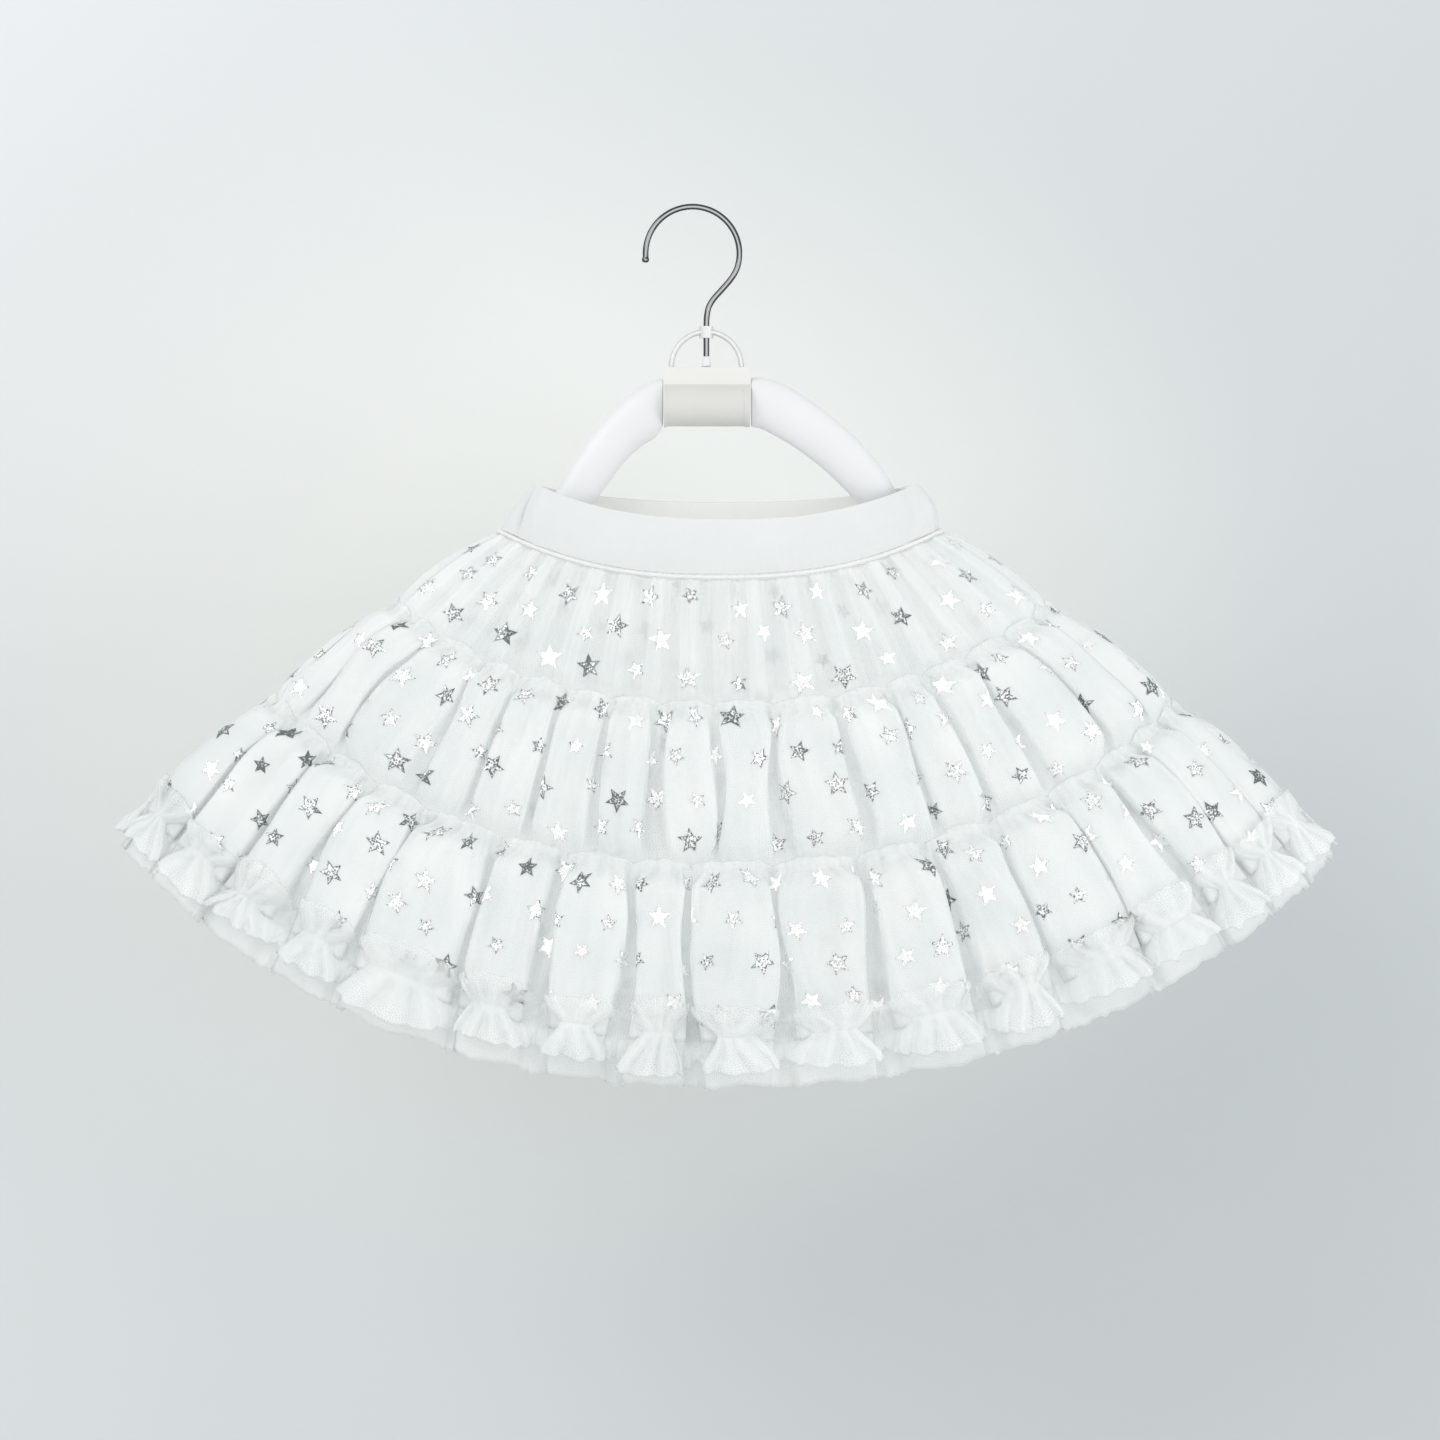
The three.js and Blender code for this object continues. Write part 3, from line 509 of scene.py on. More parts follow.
def drift(around, down, run):
    return np.sin(down / run[0] + around / run[1])


def tierSurface(tier, own, above, angle, down):
    # for grids of angles and distances down the skirt: the cloth's points, and how dense the net looks
    d, seed = drape, tier["seed"]
    sewnAbove, sewnBelow = above is not None, tier["bottom"] != "tierEnd"
    top, bottom = seamLines[tier["top"]], seamLines[tier["bottom"] if sewnBelow else "pinch"]
    t = (down - top) / (bottom - top)
    inside = np.sin(np.pi * np.clip(t, 0, 1))
    fall = ease((t - d["settled"]) / (1 - d["settled"])) * sewnBelow
    blend = ease(t / d["joined"]) if sewnAbove else np.ones_like(t)
    start = seamHeight(above, angle) if sewnAbove else 0
    gathers, rise = foldShape(tier, own, angle, t)
    if not sewnAbove:
        even = ease(t / d["evened"])
        gathers = gathers * (1 - even) + d["evenedTo"] * softHeight(own, angle) * even
    height = start * (1 - blend) + (gathers * (1 - fall) + seamHeight(own, angle) * fall) * blend

    around, perDegree = roundWay(angle[0], (top + bottom) / 2)
    held = ease(t / d["heldAbove"]) * (ease((1 - t) / d["heldBelow"]) if sewnBelow else 1)
    fine = ripple(around + d["fineSlant"] * down, d["fineWaves"], seed)
    reach = tier["puckerLength"] * (1 + d["fineUneven"] * ripple(around, d["fineReach"], seed + 5))
    fine = fine * np.exp(-np.clip(down - top, 0, None) / reach)
    soft = ripple(around + d["softSway"] * np.sin(down / d["softTurn"]), d["softWaves"], seed + 1)
    soft = soft * drift(around, down, d["softRun"]) * inside ** 0.5
    sway = d["longSway"] * drift(around, down, d["longRun"])
    streaks = ripple(around + sway, d["longWaves"], seed + 7) * held
    share, row, _, span = gatherAt(own, angle)
    swell = np.sin(np.pi * share)
    rounded = swell ** 0.7
    # the free edge above the seam, and the little puff just below it
    puff = tier["header"] * (0.7 + 0.3 * ripple(around, d["puffWaves"], seed + 2)) * (0.15 + 0.85 * rounded)
    height = (height + skirtForm["puff"] * inside + creaseHeight(tier["creases"], angle, t, perDegree) * held
              + tier["pucker"] * fine * ease((down - top) / d["fineStart"] + 0.25)
              + tier["crumple"] * soft + tier["streak"] * streaks
              - tier["tuck"] * bell((bottom - down - d["tuckAt"]) / d["tuckWidth"])
              + puff * bell((down - top) / d["puffWidth"])
              + np.clip(top - down, 0, None) * tier["stand"] * swell)

    # every gather falls over to its outer side, so one edge is crisp and the other soft
    lift = blend * (1 - fall)
    over = np.sin(2 * np.radians(angle)) * (0.55 + 0.45 * ownShare(row[..., 2], 3.7))
    slide = tier["fallOver"] * over * rise ** 1.5 - tier["overhang"] * np.sin(2 * np.pi * share) * rise
    stray = ripple(around + d["straySway"] * drift(around, down, d["strayRun"]), d["strayWaves"], seed + 3)
    slide = slide * span * perDegree * lift + tier["wander"] * stray * lift * ease(t / d["strayFrom"])
    outward, across = skirtFrame(angle, down)
    points = bareSkirt(angle, down) + outward * height[..., None] + across * slide[..., None]

    # denser to the eye on the crest, with a bright line where the cloth turns back
    least, more = d["crowded"]
    crowded = least + more * np.mod(row[..., 2] * 9.1 + row[..., 1] * 3.3, 1)
    crest = crowded * ease((rise - d["crestFrom"]) / d["crestRun"])
    crest = crest + tier["edgeLine"] * bell((rise - d["edgeAt"]) / d["edgeWidth"])
    # one pleat lies inside most gathers, seen as a second crisp edge that runs a little aslant
    least, more = d["pleatAt"]
    aslant = d["pleatSlant"] * (t - 0.5) * np.cos(7 * row[..., 2])
    past = share - (least + more * ownShare(row[..., 1], 6.7) + aslant)
    pleat = np.where(past > 0, np.exp(-past / d["pleatWidth"]), 0) * ease(past / d["pleatEdge"])
    density = (crest + tier["pleat"] * ownShare(row[..., 1], 4.9) * pleat) * lift
    # cuff above the seam, doubled cloth at the seam below, and paler ends, where the eye looks along the net
    least, more = d["cuff"]
    cuff = (least + more * ownShare(row[..., 2], 5.1)) * rounded * sewnAbove
    density = density + cuff * bell((down - top) / d["cuffWidth"])
    density = density + d["seam"] * np.exp(-np.abs(bottom - down) / d["seamWidth"]) * sewnBelow
    density = density + d["fine"] * fine + tier["streakLine"] * streaks
    return points, density + d["ends"] * np.abs(np.sin(np.radians(angle))) ** 4 * blend


def flatWidth(points, row):
    # cloth's own length round the tier, measured over its gathers at one row
    ring = points[row]
    steps = np.linalg.norm(np.roll(ring, -1, axis=0) - ring, axis=1)
    return np.concatenate([[0], np.cumsum(steps)[:-1]]), steps.sum()


def makeTier(tier, own, above, material):
    top, bottom = seamLines[tier["top"]], seamLines[tier["bottom"]]
    if tier["bottom"] != "tierEnd":
        bottom = bottom - 0.1                                 # ends just above the next tier's seam
    q = np.linspace(0, 1, tier["rows"])
    lengths = top + (bottom - top) * (q ** 1.25 * 0.5 + q * 0.5)     # rows are closer together near the top
    if above is not None:
        lengths = np.concatenate([top - tier["edge"] * np.array(drape["edgeRows"]), lengths])
    angle, down = np.meshgrid(columnsOf(own, tier["perFold"]), lengths)
    around = roundWay(angle[0], top)[0]
    swell = np.sin(np.pi * gatherAt(own, angle)[0])
    ragged = 0.8 + 0.25 * ripple(around, drape["edgeWaves"], tier["seed"] + 9)
    ragged = ragged * (0.12 + 0.88 * swell ** 0.8)
    down = np.where(down < top, top - (top - down) * ragged, down)
    points, density = tierSurface(tier, own, above, angle, down)
    widths, total = flatWidth(points, int(tier["rows"] * 0.6))
    piece = tubeMesh(tier["name"], points, widths, lengths, density)
    thicken(piece, tier["thickness"])
    dressCloth(piece, tier, material, total, (lengths[-1] - lengths[0]) * drape["takenUp"])
    return {"points": points, "widths": widths, "total": total, "lengths": lengths}


starNet = netMaterial("nylon_tulle_net")
made = [
    makeTier(tierOne, foldsOne, None, starNet),
    makeTier(tierTwo, foldsTwo, foldsOne, starNet),
    makeTier(tierThree, foldsThree, foldsTwo, starNet),
]


# foil stars, pressed flat on the net before it was gathered (mm)
stars = {
    "name": "foil_stars", "seed": 7, "spacing": 21, "rowStep": 18, "jitter": 4.5,
    "clearAbove": 2.5, "clearBelow": 4, "lift": 0.3, "rings": 3,
    "sizes": (5.7, 4.9, 4.1), "sizeShares": (0.5, 0.3, 0.2), "inner": 0.45,
    # painted reflections: tints from dark to bright, how common each is and how much it varies
    "paintedTints": (-0.25, 0.02, 0.28, 0.55), "tintShares": (0.13, 0.24, 0.3, 0.33), "tintVary": 0.08,
    "leftPaintedShade": 0.3, "leftReach": 150, "rimDarker": 0.4, "tintRange": (-0.8, 1),
}


def surfaceAt(tier, s, down):
    # smooth lookup of the gathered cloth by its flat coordinates
    points, widths, lengths = tier["points"], tier["widths"], tier["lengths"]
    columns = points.shape[1]
    xs = np.concatenate([widths, [tier["total"]]])
    col = np.interp(np.mod(s, tier["total"]), xs, np.arange(columns + 1))
    row = np.interp(down, lengths, np.arange(len(lengths)))
    c0, r0 = np.floor(col).astype(int), np.minimum(np.floor(row).astype(int), len(lengths) - 2)
    fc, fr = (col - c0)[..., None], (row - r0)[..., None]
    a, b = c0 % columns, (c0 + 1) % columns
    upper = points[r0, a] * (1 - fc) + points[r0, b] * fc
    lower = points[r0 + 1, a] * (1 - fc) + points[r0 + 1, b] * fc
    normal = unit(np.cross(lower - upper, points[r0, b] - points[r0, a]))
    return upper * (1 - fr) + lower * fr, normal


def starOutline(radius, turn):
    # five tips, five notches, and the middle of each side between them
    at = turn + math.tau * np.arange(10) / 10
    reach = np.where(np.arange(10) % 2 == 0, 1, stars["inner"]) * radius
    corner = np.stack([np.cos(at), np.sin(at)], -1) * reach[:, None]
    halfway = (corner + np.roll(corner, -1, axis=0)) / 2
    return np.stack([corner, halfway], 1).reshape(-1, 2)


def starFaces(base, around):
    # a fan round the middle point, and a band of faces out to each further ring
    out = []
    for j in range(around):
        n = (j + 1) % around
        out.append((base, base + 1 + n, base + 1 + j))
        for ring in range(1, stars["rings"]):
            a, b = base + 1 + (ring - 1) * around, base + 1 + ring * around
            out.append((a + j, a + n, b + n, b + j))
    return out


def makeStars(tiers, material):
    # a loose staggered grid of stars on each tier's flat cloth, carried along with its gathers
    z = stars
    chance = np.random.default_rng(z["seed"])
    points, faces, paintedTints, flats = [], [], [], []
    for tier in tiers:
        low, high = tier["lengths"][0] + z["clearAbove"], tier["lengths"][-1] - z["clearBelow"]
        rowCount = max(2, round((high - low) / z["rowStep"]))
        perRow = int(tier["total"] / z["spacing"])
        for r, k in ((r, k) for r in range(rowCount) for k in range(perRow)):
            s = (k + 0.5 * (r % 2)) * tier["total"] / perRow + chance.uniform(-1, 1) * z["jitter"]
            down = low + (r + 0.5) * (high - low) / rowCount + chance.uniform(-1, 1) * z["jitter"] * 0.8
            radius = chance.choice(z["sizes"], p=z["sizeShares"])
            # painted reflection: each star gets a fixed shade of silver, and painted shade makes the stars on
            # the left darker
            paintedTint = chance.choice(z["paintedTints"], p=z["tintShares"]) + chance.uniform(-1, 1) * z["tintVary"]
            x = surfaceAt(tier, np.array([s]), np.array([down]))[0][0, 0]
            paintedTint -= z["leftPaintedShade"] * min(1, max(0, -x / z["leftReach"]))       # turned away from the light
            outline = starOutline(radius, chance.uniform(0, math.tau))
            rings = [outline * ring / z["rings"] for ring in range(1, z["rings"] + 1)]
            flat = np.concatenate([np.zeros((1, 2)), *rings]) + (s, down)
            where, normal = surfaceAt(tier, flat[:, 0], np.clip(flat[:, 1], low - 2, high + 3))
            faces.extend(starFaces(len(flats) * len(flat), len(outline)))
            points.append(where + normal * z["lift"])
            shades = np.full(len(flat), paintedTint)
            shades[-len(outline):] -= z["rimDarker"]          # foil is thinner along its rim
            paintedTints.append(shades)
            flats.append(flat)
    piece = newPiece(z["name"], points, faces)
    pointValue(piece, "paintedTint", np.clip(paintedTints, *z["tintRange"]))
    corners = np.empty(len(piece.data.loops), dtype=np.int32)
    piece.data.loops.foreach_get("vertex_index", corners)
    flatMap(piece, np.concatenate(flats)[corners])
    finish(piece, material, "tulle")
    print("stars:", len(flats), "faces", len(faces))


makeStars(made, foilMaterial())


# hem ruffle, a strip gathered on a stitched line, and the raw layer under it (mm)
hemSheet = {"slot": "ruffle_tulle", "restsOn": ["star_net_tier_3"], "thickness": 0.3}
hemRuffle = {
    **hemSheet, "name": "hem_ruffle_strip", "replaces": "hem_ruffle", "seed": 11,
    "perFold": 40, "rowsUp": 11, "rowsLow": 18, "up": 13, "low": 17.5, "stand": 1.2, "sidesFlatter": 0.55,
    # flare of the top edge and of the fans, their small flutes, and how they draw in and open out
    "headerFlare": 3.8, "hemFlare": 6.2, "flutes": 6, "flute": 1.6, "pinchWidth": 3.8, "pinchPuff": 1.2,
    "neckPower": 3.0, "openPower": 0.74,
    # how unlike each other the fans are, and the ragged edges
    "uneven": 0.16, "unevenUp": 0.26, "unevenFlare": 0.3, "tilt": 3.4, "shift": 1.8, "ragged": 1.1,
    # density at the stitches, in creases, at the top edge, hem line, between fans, below and at both ends
    "drawnIn": 0.9, "creases": 0.28, "topThin": 0.75, "hemLine": 0.4, "between": 0.4,
    "lowThin": 0.12, "ends": 0.6,
}
underLayer = {
    **hemSheet, "name": "raw_edge_layer", "replaces": "hem_under_ruffle",
    "perFold": 26, "rows": 12, "behind": 9, "inward": 0.8, "straighten": 4.2, "uneven": 2.4,
}


def makeRuffle(material):
    # one bow-like fan on each gather, drawn in at the stitched line and spreading above and below it
    r = hemRuffle
    pinch = seamLines["pinch"]
    above, below = np.linspace(-1, 0, r["rowsUp"])[:-1], np.linspace(0, 1, r["rowsLow"])
    angles = columnsOf(foldsThree, r["perFold"])
    angle, place = np.meshgrid(angles, np.concatenate([-(-above) ** 1.1, below ** 1.2]))
    share, _, _, span = gatherAt(foldsThree, angle)
    first = foldsThree[0, 0]
    order = np.searchsorted(foldsThree[:, 0], first + np.mod(angle - first, 360), side="right")
    some = np.random.default_rng(r["seed"]).uniform(-1, 1, (6, len(foldsThree) + 2))
    longer, wider, later, turned, taller, tilted = (own[order] for own in some)
    around, perDegree = roundWay(angles, pinch)
    fan = np.sin(np.pi * share)
    up, low = np.clip(-place, 0, 1), np.clip(place, 0, 1)
    wave = np.cos(2 * np.pi * (r["flutes"] + np.round(turned)) * (share - 0.5) + 2 * turned)
    runLow = r["low"] * (0.56 + 0.44 * fan ** 0.7) * (1 + r["uneven"] * longer * fan)
    runLow = runLow + r["ragged"] * (wave * fan + ripple(around, (2.1, 3.3, 5.3), 22))
    runUp = r["up"] * (0.5 + 0.5 * fan ** 0.7) * (1 + r["unevenUp"] * taller * fan)
    runUp = runUp + r["ragged"] * ripple(around, (3.7, 6.1, 11), 23)
    off = low * runLow - up * runUp + r["shift"] * wider * fan * (1 - np.abs(place))
    base = tierSurface(tierThree, foldsThree, foldsTwo, angle, pinch + off)[0]
    outward, across = skirtFrame(angle, pinch + off)
    flatter = r["sidesFlatter"] * np.abs(np.sin(np.radians(angle))) ** 6
    closed = bell(off / r["pinchWidth"])                      # 1 on the stitched line
    body = fan ** (0.85 + 1.3 * closed)
    # each fan opens out below the stitches, some sooner than others
    bulb = np.sin(np.pi / 2 * np.clip(low * (0.85 + 0.35 * later), 0, 1)) * (1 - 0.3 * low ** 2.5)
    reach = (r["headerFlare"] * up ** 0.7 + r["hemFlare"] * bulb) * (1 - flatter)
    reach = reach * (1 + r["unevenFlare"] * wider * fan) * (0.06 + 0.94 * body)
    reach = reach + r["pinchPuff"] * closed * fan ** 3
    fluted = 0.2 + 0.8 * ease(low * 1.4) + 0.4 * ease(up * 2)
    flutes = r["flute"] * fan ** 0.8 * wave * fluted * (1 - flatter)
    wobble = 0.3 * ripple(around + off * 0.6, (2.9, 4.3, 7.1), 21) * ease(np.abs(off) / 4)
    height = r["stand"] + np.maximum(0, reach + flutes) + wobble
    drawn = r["openPower"] + (r["neckPower"] - r["openPower"]) * (1 - low) ** 1.8 * (1 - up) ** 2.4
    spot = 0.5 + 0.5 * np.sign(share - 0.5) * np.abs(2 * share - 1) ** drawn
    slide = (spot - share) * span * perDegree + r["tilt"] * tilted * fan * low
    points = base + outward * height[..., None] + across * slide[..., None]
    # denser where it is drawn together and along the fan's creases, thin at the raw top edge
    creases = (wave * fan + 0.5 * ripple(around, (1.9, 3.1, 4.7), 24)) * ease(np.abs(off) / 3)
    density = r["drawnIn"] * closed * (fan ** 2 - 0.5) + r["creases"] * creases - r["topThin"] * up ** 1.5
    density = density + r["hemLine"] * bell((1 - low) / 0.05)
    density = density + r["between"] * (1 - fan) ** 3 * ease(low * 2) * (1 - low)
    density = density - r["lowThin"] * low + r["ends"] * flatter
    widths, total = flatWidth(points, r["rowsUp"] + 7)
    lengths = pinch + np.concatenate([r["up"] * above, r["low"] * below])
    piece = tubeMesh(r["name"], points, widths, lengths, density)
    thicken(piece, r["thickness"])
    dressCloth(piece, r, material, total, (r["up"] + r["low"]) * drape["takenUp"])


def makeUnderLayer(material):
    u = underLayer
    tierEnd, end = seamLines["tierEnd"], seamLines["underEnd"]
    start = tierEnd - u["behind"]
    q = np.linspace(0, 1, u["rows"])
    angle, share = np.meshgrid(columnsOf(foldsThree, u["perFold"]), q)
    around = roundWay(angle[0], start)[0]
    ragged = u["uneven"] * (0.5 * ripple(around, (19, 33), 31) + 0.5 * ripple(around, (2.3, 3.1, 5.7), 32))
    down = start + (end - start + ragged) * share
    t = np.clip((down - tierEnd) / (end - tierEnd), 0, 1)
    straight = 0.5 + u["straighten"] * np.sin(np.pi * gatherAt(foldsThree, angle)[0])
    inward = u["inward"] + t * straight + 0.5 * t * ripple(around, (5.3, 8.7), 33)
    points = tierSurface(tierThree, foldsThree, foldsTwo, angle, down)[0]
    points = points - skirtFrame(angle, down)[0] * inward[..., None]
    widths, total = flatWidth(points, u["rows"] - 1)
    piece = tubeMesh(u["name"], points, widths, start + (end - start) * q)
    thicken(piece, u["thickness"])
    dressCloth(piece, u, material, total, end - start)


plainNet = netMaterial("plain_nylon_net", 1.65)
makeRuffle(plainNet)
makeUnderLayer(plainNet)


waistBand = {
    "name": "elastic_waistband", "replaces": "waistband", "slot": "waist_elastic",
    "restsOn": ["hanger_left_arm_piece", "hanger_right_arm_piece"],
    "topCentreX": 14.5, "topHalfWidth": 84, "topFrontDepth": 18.5, "topBackDepth": 14,
    "topSideZ": -121, "topFrontSag": 16, "topBackSag": 7.5, "rightPuff": 2.6, "seamAbove": 1.5,
    "columns": 360, "rows": 26, "thickness": 2.2, "edge": 0.7, "plump": 0.9, "ripple": 0.25,
    # soft folds: angle, slant in degrees from top to bottom, depth and width in mm
    "folds": [
        (-74, 16, -1.8, 4.5), (-64, 10, 0.9, 6), (-38, -6, -0.5, 9), (-12, 5, 0.45, 12), (18, -7, -0.5, 12),
        (41, 8, 0.6, 10), (66, -9, -0.9, 7), (78, -6, 1.2, 5), (86, 4, -1.4, 3.5), (140, 8, -0.6, 12),
        (200, -6, 0.6, 14), (246, 8, -0.8, 9),
    ],
}


def bandPoint(angle, share):
    # points from the band's top edge (share 0) to its lower edge (share 1)
    b = waistBand
    s, c = np.sin(np.radians(angle)), np.cos(np.radians(angle))
    lower = bareSkirt(angle, np.full_like(angle, -b["seamAbove"]))
    depth = np.where(c > 0, b["topFrontDepth"], b["topBackDepth"])
    sag = np.where(c > 0, b["topFrontSag"], b["topBackSag"])
    upper = np.stack(ovalRing(s, c, b["topCentreX"], b["topHalfWidth"], depth, b["topSideZ"], sag), axis=-1)
    point = upper * (1 - share)[..., None] + lower * share[..., None]
    point[..., 0] += b["rightPuff"] * np.sin(np.pi * share) * np.maximum(0, s) ** 8
    return point


def makeWaistband(material, inner):
    b = waistBand
    angles = -180 + 360 * np.arange(b["columns"]) / b["columns"]
    angle, share = np.meshgrid(angles, np.linspace(0, 1, b["rows"]))
    points = bandPoint(angle, share)
    across = unit(np.roll(points, -1, axis=1) - np.roll(points, 1, axis=1))
    along = unit(np.gradient(points, axis=0))
    outward = unit(np.cross(along, across))
    swell = np.sin(np.pi * share)
    height = b["plump"] * (swell - 0.6)
    around, perDegree = roundWay(angles, 0)
    for at, slant, depth, size in b["folds"]:
        off = (np.mod(angle - at - slant * (share - 0.5) + 180, 360) - 180) * perDegree
        height = height + depth * bell(off / size * 1.5) * (0.45 + 0.55 * swell)
    height = height + b["ripple"] * ripple(around + 6 * share, (23, 41), 51)
    points = points + outward * height[..., None]
    widths, total = flatWidth(points, b["rows"] // 2)
    run = np.linalg.norm(points[-1] - points[0], axis=-1).mean()
    piece = tubeMesh(b["name"], points, widths, np.linspace(0, run, b["rows"]))
    thicken(piece, b["thickness"])
    roundOver(piece, b["edge"], 60)
    bpy.ops.object.shade_smooth()
    dressCloth(piece, b, material, total, run)
    piece.data.materials.append(inner)
    for face in piece.data.polygons:
        if face.center.y > 0 and face.normal.y < -0.3:
            face.material_index = 1              # painted light: the back band's inner side, seen through the top opening, gets the lighter copy of the elastic


seamCord = {
    "name": "waist_seam_cord", "columns": 420, "sides": 10,
    "radius": 0.85, "swell": 0.1, "proud": 0.5, "down": 0.25,
}


def makeSeamCord(material):
    # narrow raised seam between the band and the net
    c = seamCord
    angles = -180 + 360 * np.arange(c["columns"]) / c["columns"]
    below = np.ones_like(angles)                              # 1 mm below the seam
    outward = skirtFrame(angles, below)[0]
    along = unit(bareSkirt(angles, below) - bareSkirt(angles, 0 * below))
    thick = c["radius"] * (1 + c["swell"] * ripple(roundWay(angles, 0)[0], (2.4, 3.6), 61))
    middle = bareSkirt(angles, c["down"] * below)
    points = []
    for turn in math.tau * np.arange(c["sides"]) / c["sides"]:
        out, up = thick * math.cos(turn) + c["proud"], thick * math.sin(turn)
        points.append(middle + outward * out[:, None] + along * up[:, None])
    index = np.arange(c["sides"] * c["columns"]).reshape(c["sides"], c["columns"])
    under, right = np.roll(index, -1, axis=0), np.roll(index, -1, axis=1)
    faces = np.stack([index, under, np.roll(under, -1, axis=1), right], -1).reshape(-1, 4)
    piece = newPiece(c["name"], points, faces.tolist())
    piece.data.uv_layers.new(name="cloth")
    onlySelect(piece)
    bpy.ops.object.mode_set(mode="EDIT")
    bpy.ops.mesh.select_all(action="SELECT")
    bpy.ops.mesh.normals_make_consistent(inside=False)
    bpy.ops.object.mode_set(mode="OBJECT")
    bpy.ops.object.shade_smooth()
    finish(piece, material, "waist_elastic", "waist_seam_piping")


# the second elastic is a lighter copy, painted light for the band's inner side
makeWaistband(elasticMaterial("knitted_waist_elastic", "#ECEEF0", "#E4E8EA"),
              elasticMaterial("elastic_inside_painted_lighter", "#FFFFFD", "#FBFBF8"))
makeSeamCord(elasticMaterial("narrow_seam_binding", "#FAFBFB", "#F4F6F6"))


def plasticMaterial(name, light, dark):
    # injection-moulded styrene: satin white, faint ripple from the mould
    material, tree = newMaterial(name)
    place = node(tree, "TexCoord")
    cloud = node(tree, "TexNoise", Vector=place.outputs["Object"], Scale=60.0, Detail=2.0)
    tone = node(tree, "Mix", {"data_type": "RGBA"}, i0=cloud, i6=linear(light), i7=linear(dark)).outputs[2]
    bump = node(tree, "Bump", Strength=0.05, Distance=0.5 * mm, Height=cloud)
    shader = node(tree, "BsdfPrincipled", Base_Color=tone, Roughness=0.42, IOR=1.5, Normal=bump)
    return closeMaterial(material, shader)


def chromeMaterial():
    # chrome plate on drawn wire, with a painted reflection in its base colour: a narrow bright line along its
    # middle, dark to both sides as in a pale room
    material, tree = newMaterial("chrome_plated_wire")
    place = node(tree, "TexCoord")
    cloud = node(tree, "TexNoise", Vector=place.outputs["Object"], Scale=900.0, Detail=2.0)
    rough = node(tree, "MapRange", Value=cloud, To_Min=0.10, To_Max=0.2)
    # painted reflection: the facing angle picks the base colour, bright in the middle of the wire and dark at
    # its sides
    rim = node(tree, "LayerWeight", Blend=0.5)
    ramp = node(tree, "ValToRGB", Fac=rim.outputs["Facing"])
    between = (0.055, "#626567"), (0.28, "#46494A"), (0.6, "#222425")
    fillRamp(ramp, (0.015, "#D4D7D7"), (1.0, "#0E0F10"), *between)
    shader = node(tree, "BsdfPrincipled", Base_Color=ramp, Metallic=1.0, Roughness=rough)
    return closeMaterial(material, shader)


def clearMaterial():
    # clear moulded plastic, slightly milky, with painted shade: its base colour turns grey towards its rims
    material, tree = newMaterial("clear_moulded_plastic")
    place = node(tree, "TexCoord")
    cloud = node(tree, "TexNoise", Vector=place.outputs["Object"], Scale=200.0, Detail=2.0)
    rough = node(tree, "MapRange", Value=cloud, To_Min=0.05, To_Max=0.12)
    # painted shade: the facing angle mixes grey into the base colour at the rims
    rim = node(tree, "LayerWeight", Blend=0.3)
    tone = node(tree, "Mix", {"data_type": "RGBA"}, i0=rim.outputs["Facing"],
                i6=linear("#FAFBFA"), i7=linear("#8E9392")).outputs[2]
    shader = node(tree, "BsdfPrincipled", Base_Color=tone, Roughness=rough, IOR=1.49, Transmission_Weight=0.3)
    return closeMaterial(material, shader)


whiteStyrene = plasticMaterial("moulded_white_styrene", "#DFE0E2", "#D9DBDD")
warmStyrene = plasticMaterial("moulded_warm_styrene", "#D0D0CC", "#CACAC6")
paleStyrene = plasticMaterial("moulded_pale_styrene", "#DEDEDB", "#D8D8D5")


def startPiece(name, primitive, **size):
    # a primitive to shape, with nothing else selected
    bpy.ops.object.select_all(action="DESELECT")
    primitive(**size)
    piece = bpy.context.object
    piece.name = piece.data.name = name
    return piece


def mergeOutwards():
    # merges doubles, points the faces outwards and leaves edit mode
    bpy.ops.mesh.select_all(action="SELECT")
    bpy.ops.mesh.remove_doubles(threshold=0.01 * mm)
    bpy.ops.mesh.normals_make_consistent(inside=False)
    bpy.ops.object.mode_set(mode="OBJECT")


def closedMesh(piece, material, slot, replaced, angle):
    onlySelect(piece)
    bpy.ops.object.transform_apply(location=True, rotation=True, scale=True)
    bpy.ops.object.mode_set(mode="EDIT")
    mergeOutwards()
    bpy.ops.object.shade_smooth_by_angle(angle=math.radians(angle))
    finish(piece, material, slot, replaced)


def walkSection(name, stations, sides, upright=0):
    # a section circle is drawn at the first station and extruded from one station to the next
    # stations: x, z, height across the run, depth front to back (mm); the first few may start upright
    spots = [Vector((station[0], 0, station[1])) * mm for station in stations]
    headings = []
    for i in range(len(spots)):
        step = spots[min(i + 1, len(spots) - 1)] - spots[max(i - 1, 0)]
        run, square = math.atan2(step.x, step.z), math.copysign(math.pi / 2, step.x)
        headings.append(square + (run - square) * min(1, i / upright) if upright else run)
    wide, deep = stations[0][2:]
    piece = startPiece(name, bpy.ops.mesh.primitive_circle_add, vertices=sides, radius=0.5 * mm,
                       fill_type="NGON", location=spots[0])
    bpy.ops.object.mode_set(mode="EDIT")
    bpy.ops.mesh.select_all(action="SELECT")
    bpy.ops.transform.resize(value=(wide, deep, 1), center_override=spots[0])
    bpy.ops.transform.rotate(value=-headings[0], orient_axis="Y", center_override=spots[0])
    for i in range(1, len(spots)):
        bpy.ops.mesh.extrude_region_move(TRANSFORM_OT_translate={"value": spots[i] - spots[i - 1]})
        turn = headings[i] - headings[i - 1]
        bpy.ops.transform.rotate(value=-turn, orient_axis="Y", center_override=spots[i])
        scale = stations[i][2] / stations[i - 1][2]
        if scale != 1:
            bpy.ops.transform.resize(value=(scale, scale, scale), center_override=spots[i])
    bpy.ops.object.mode_set(mode="OBJECT")
    return piece


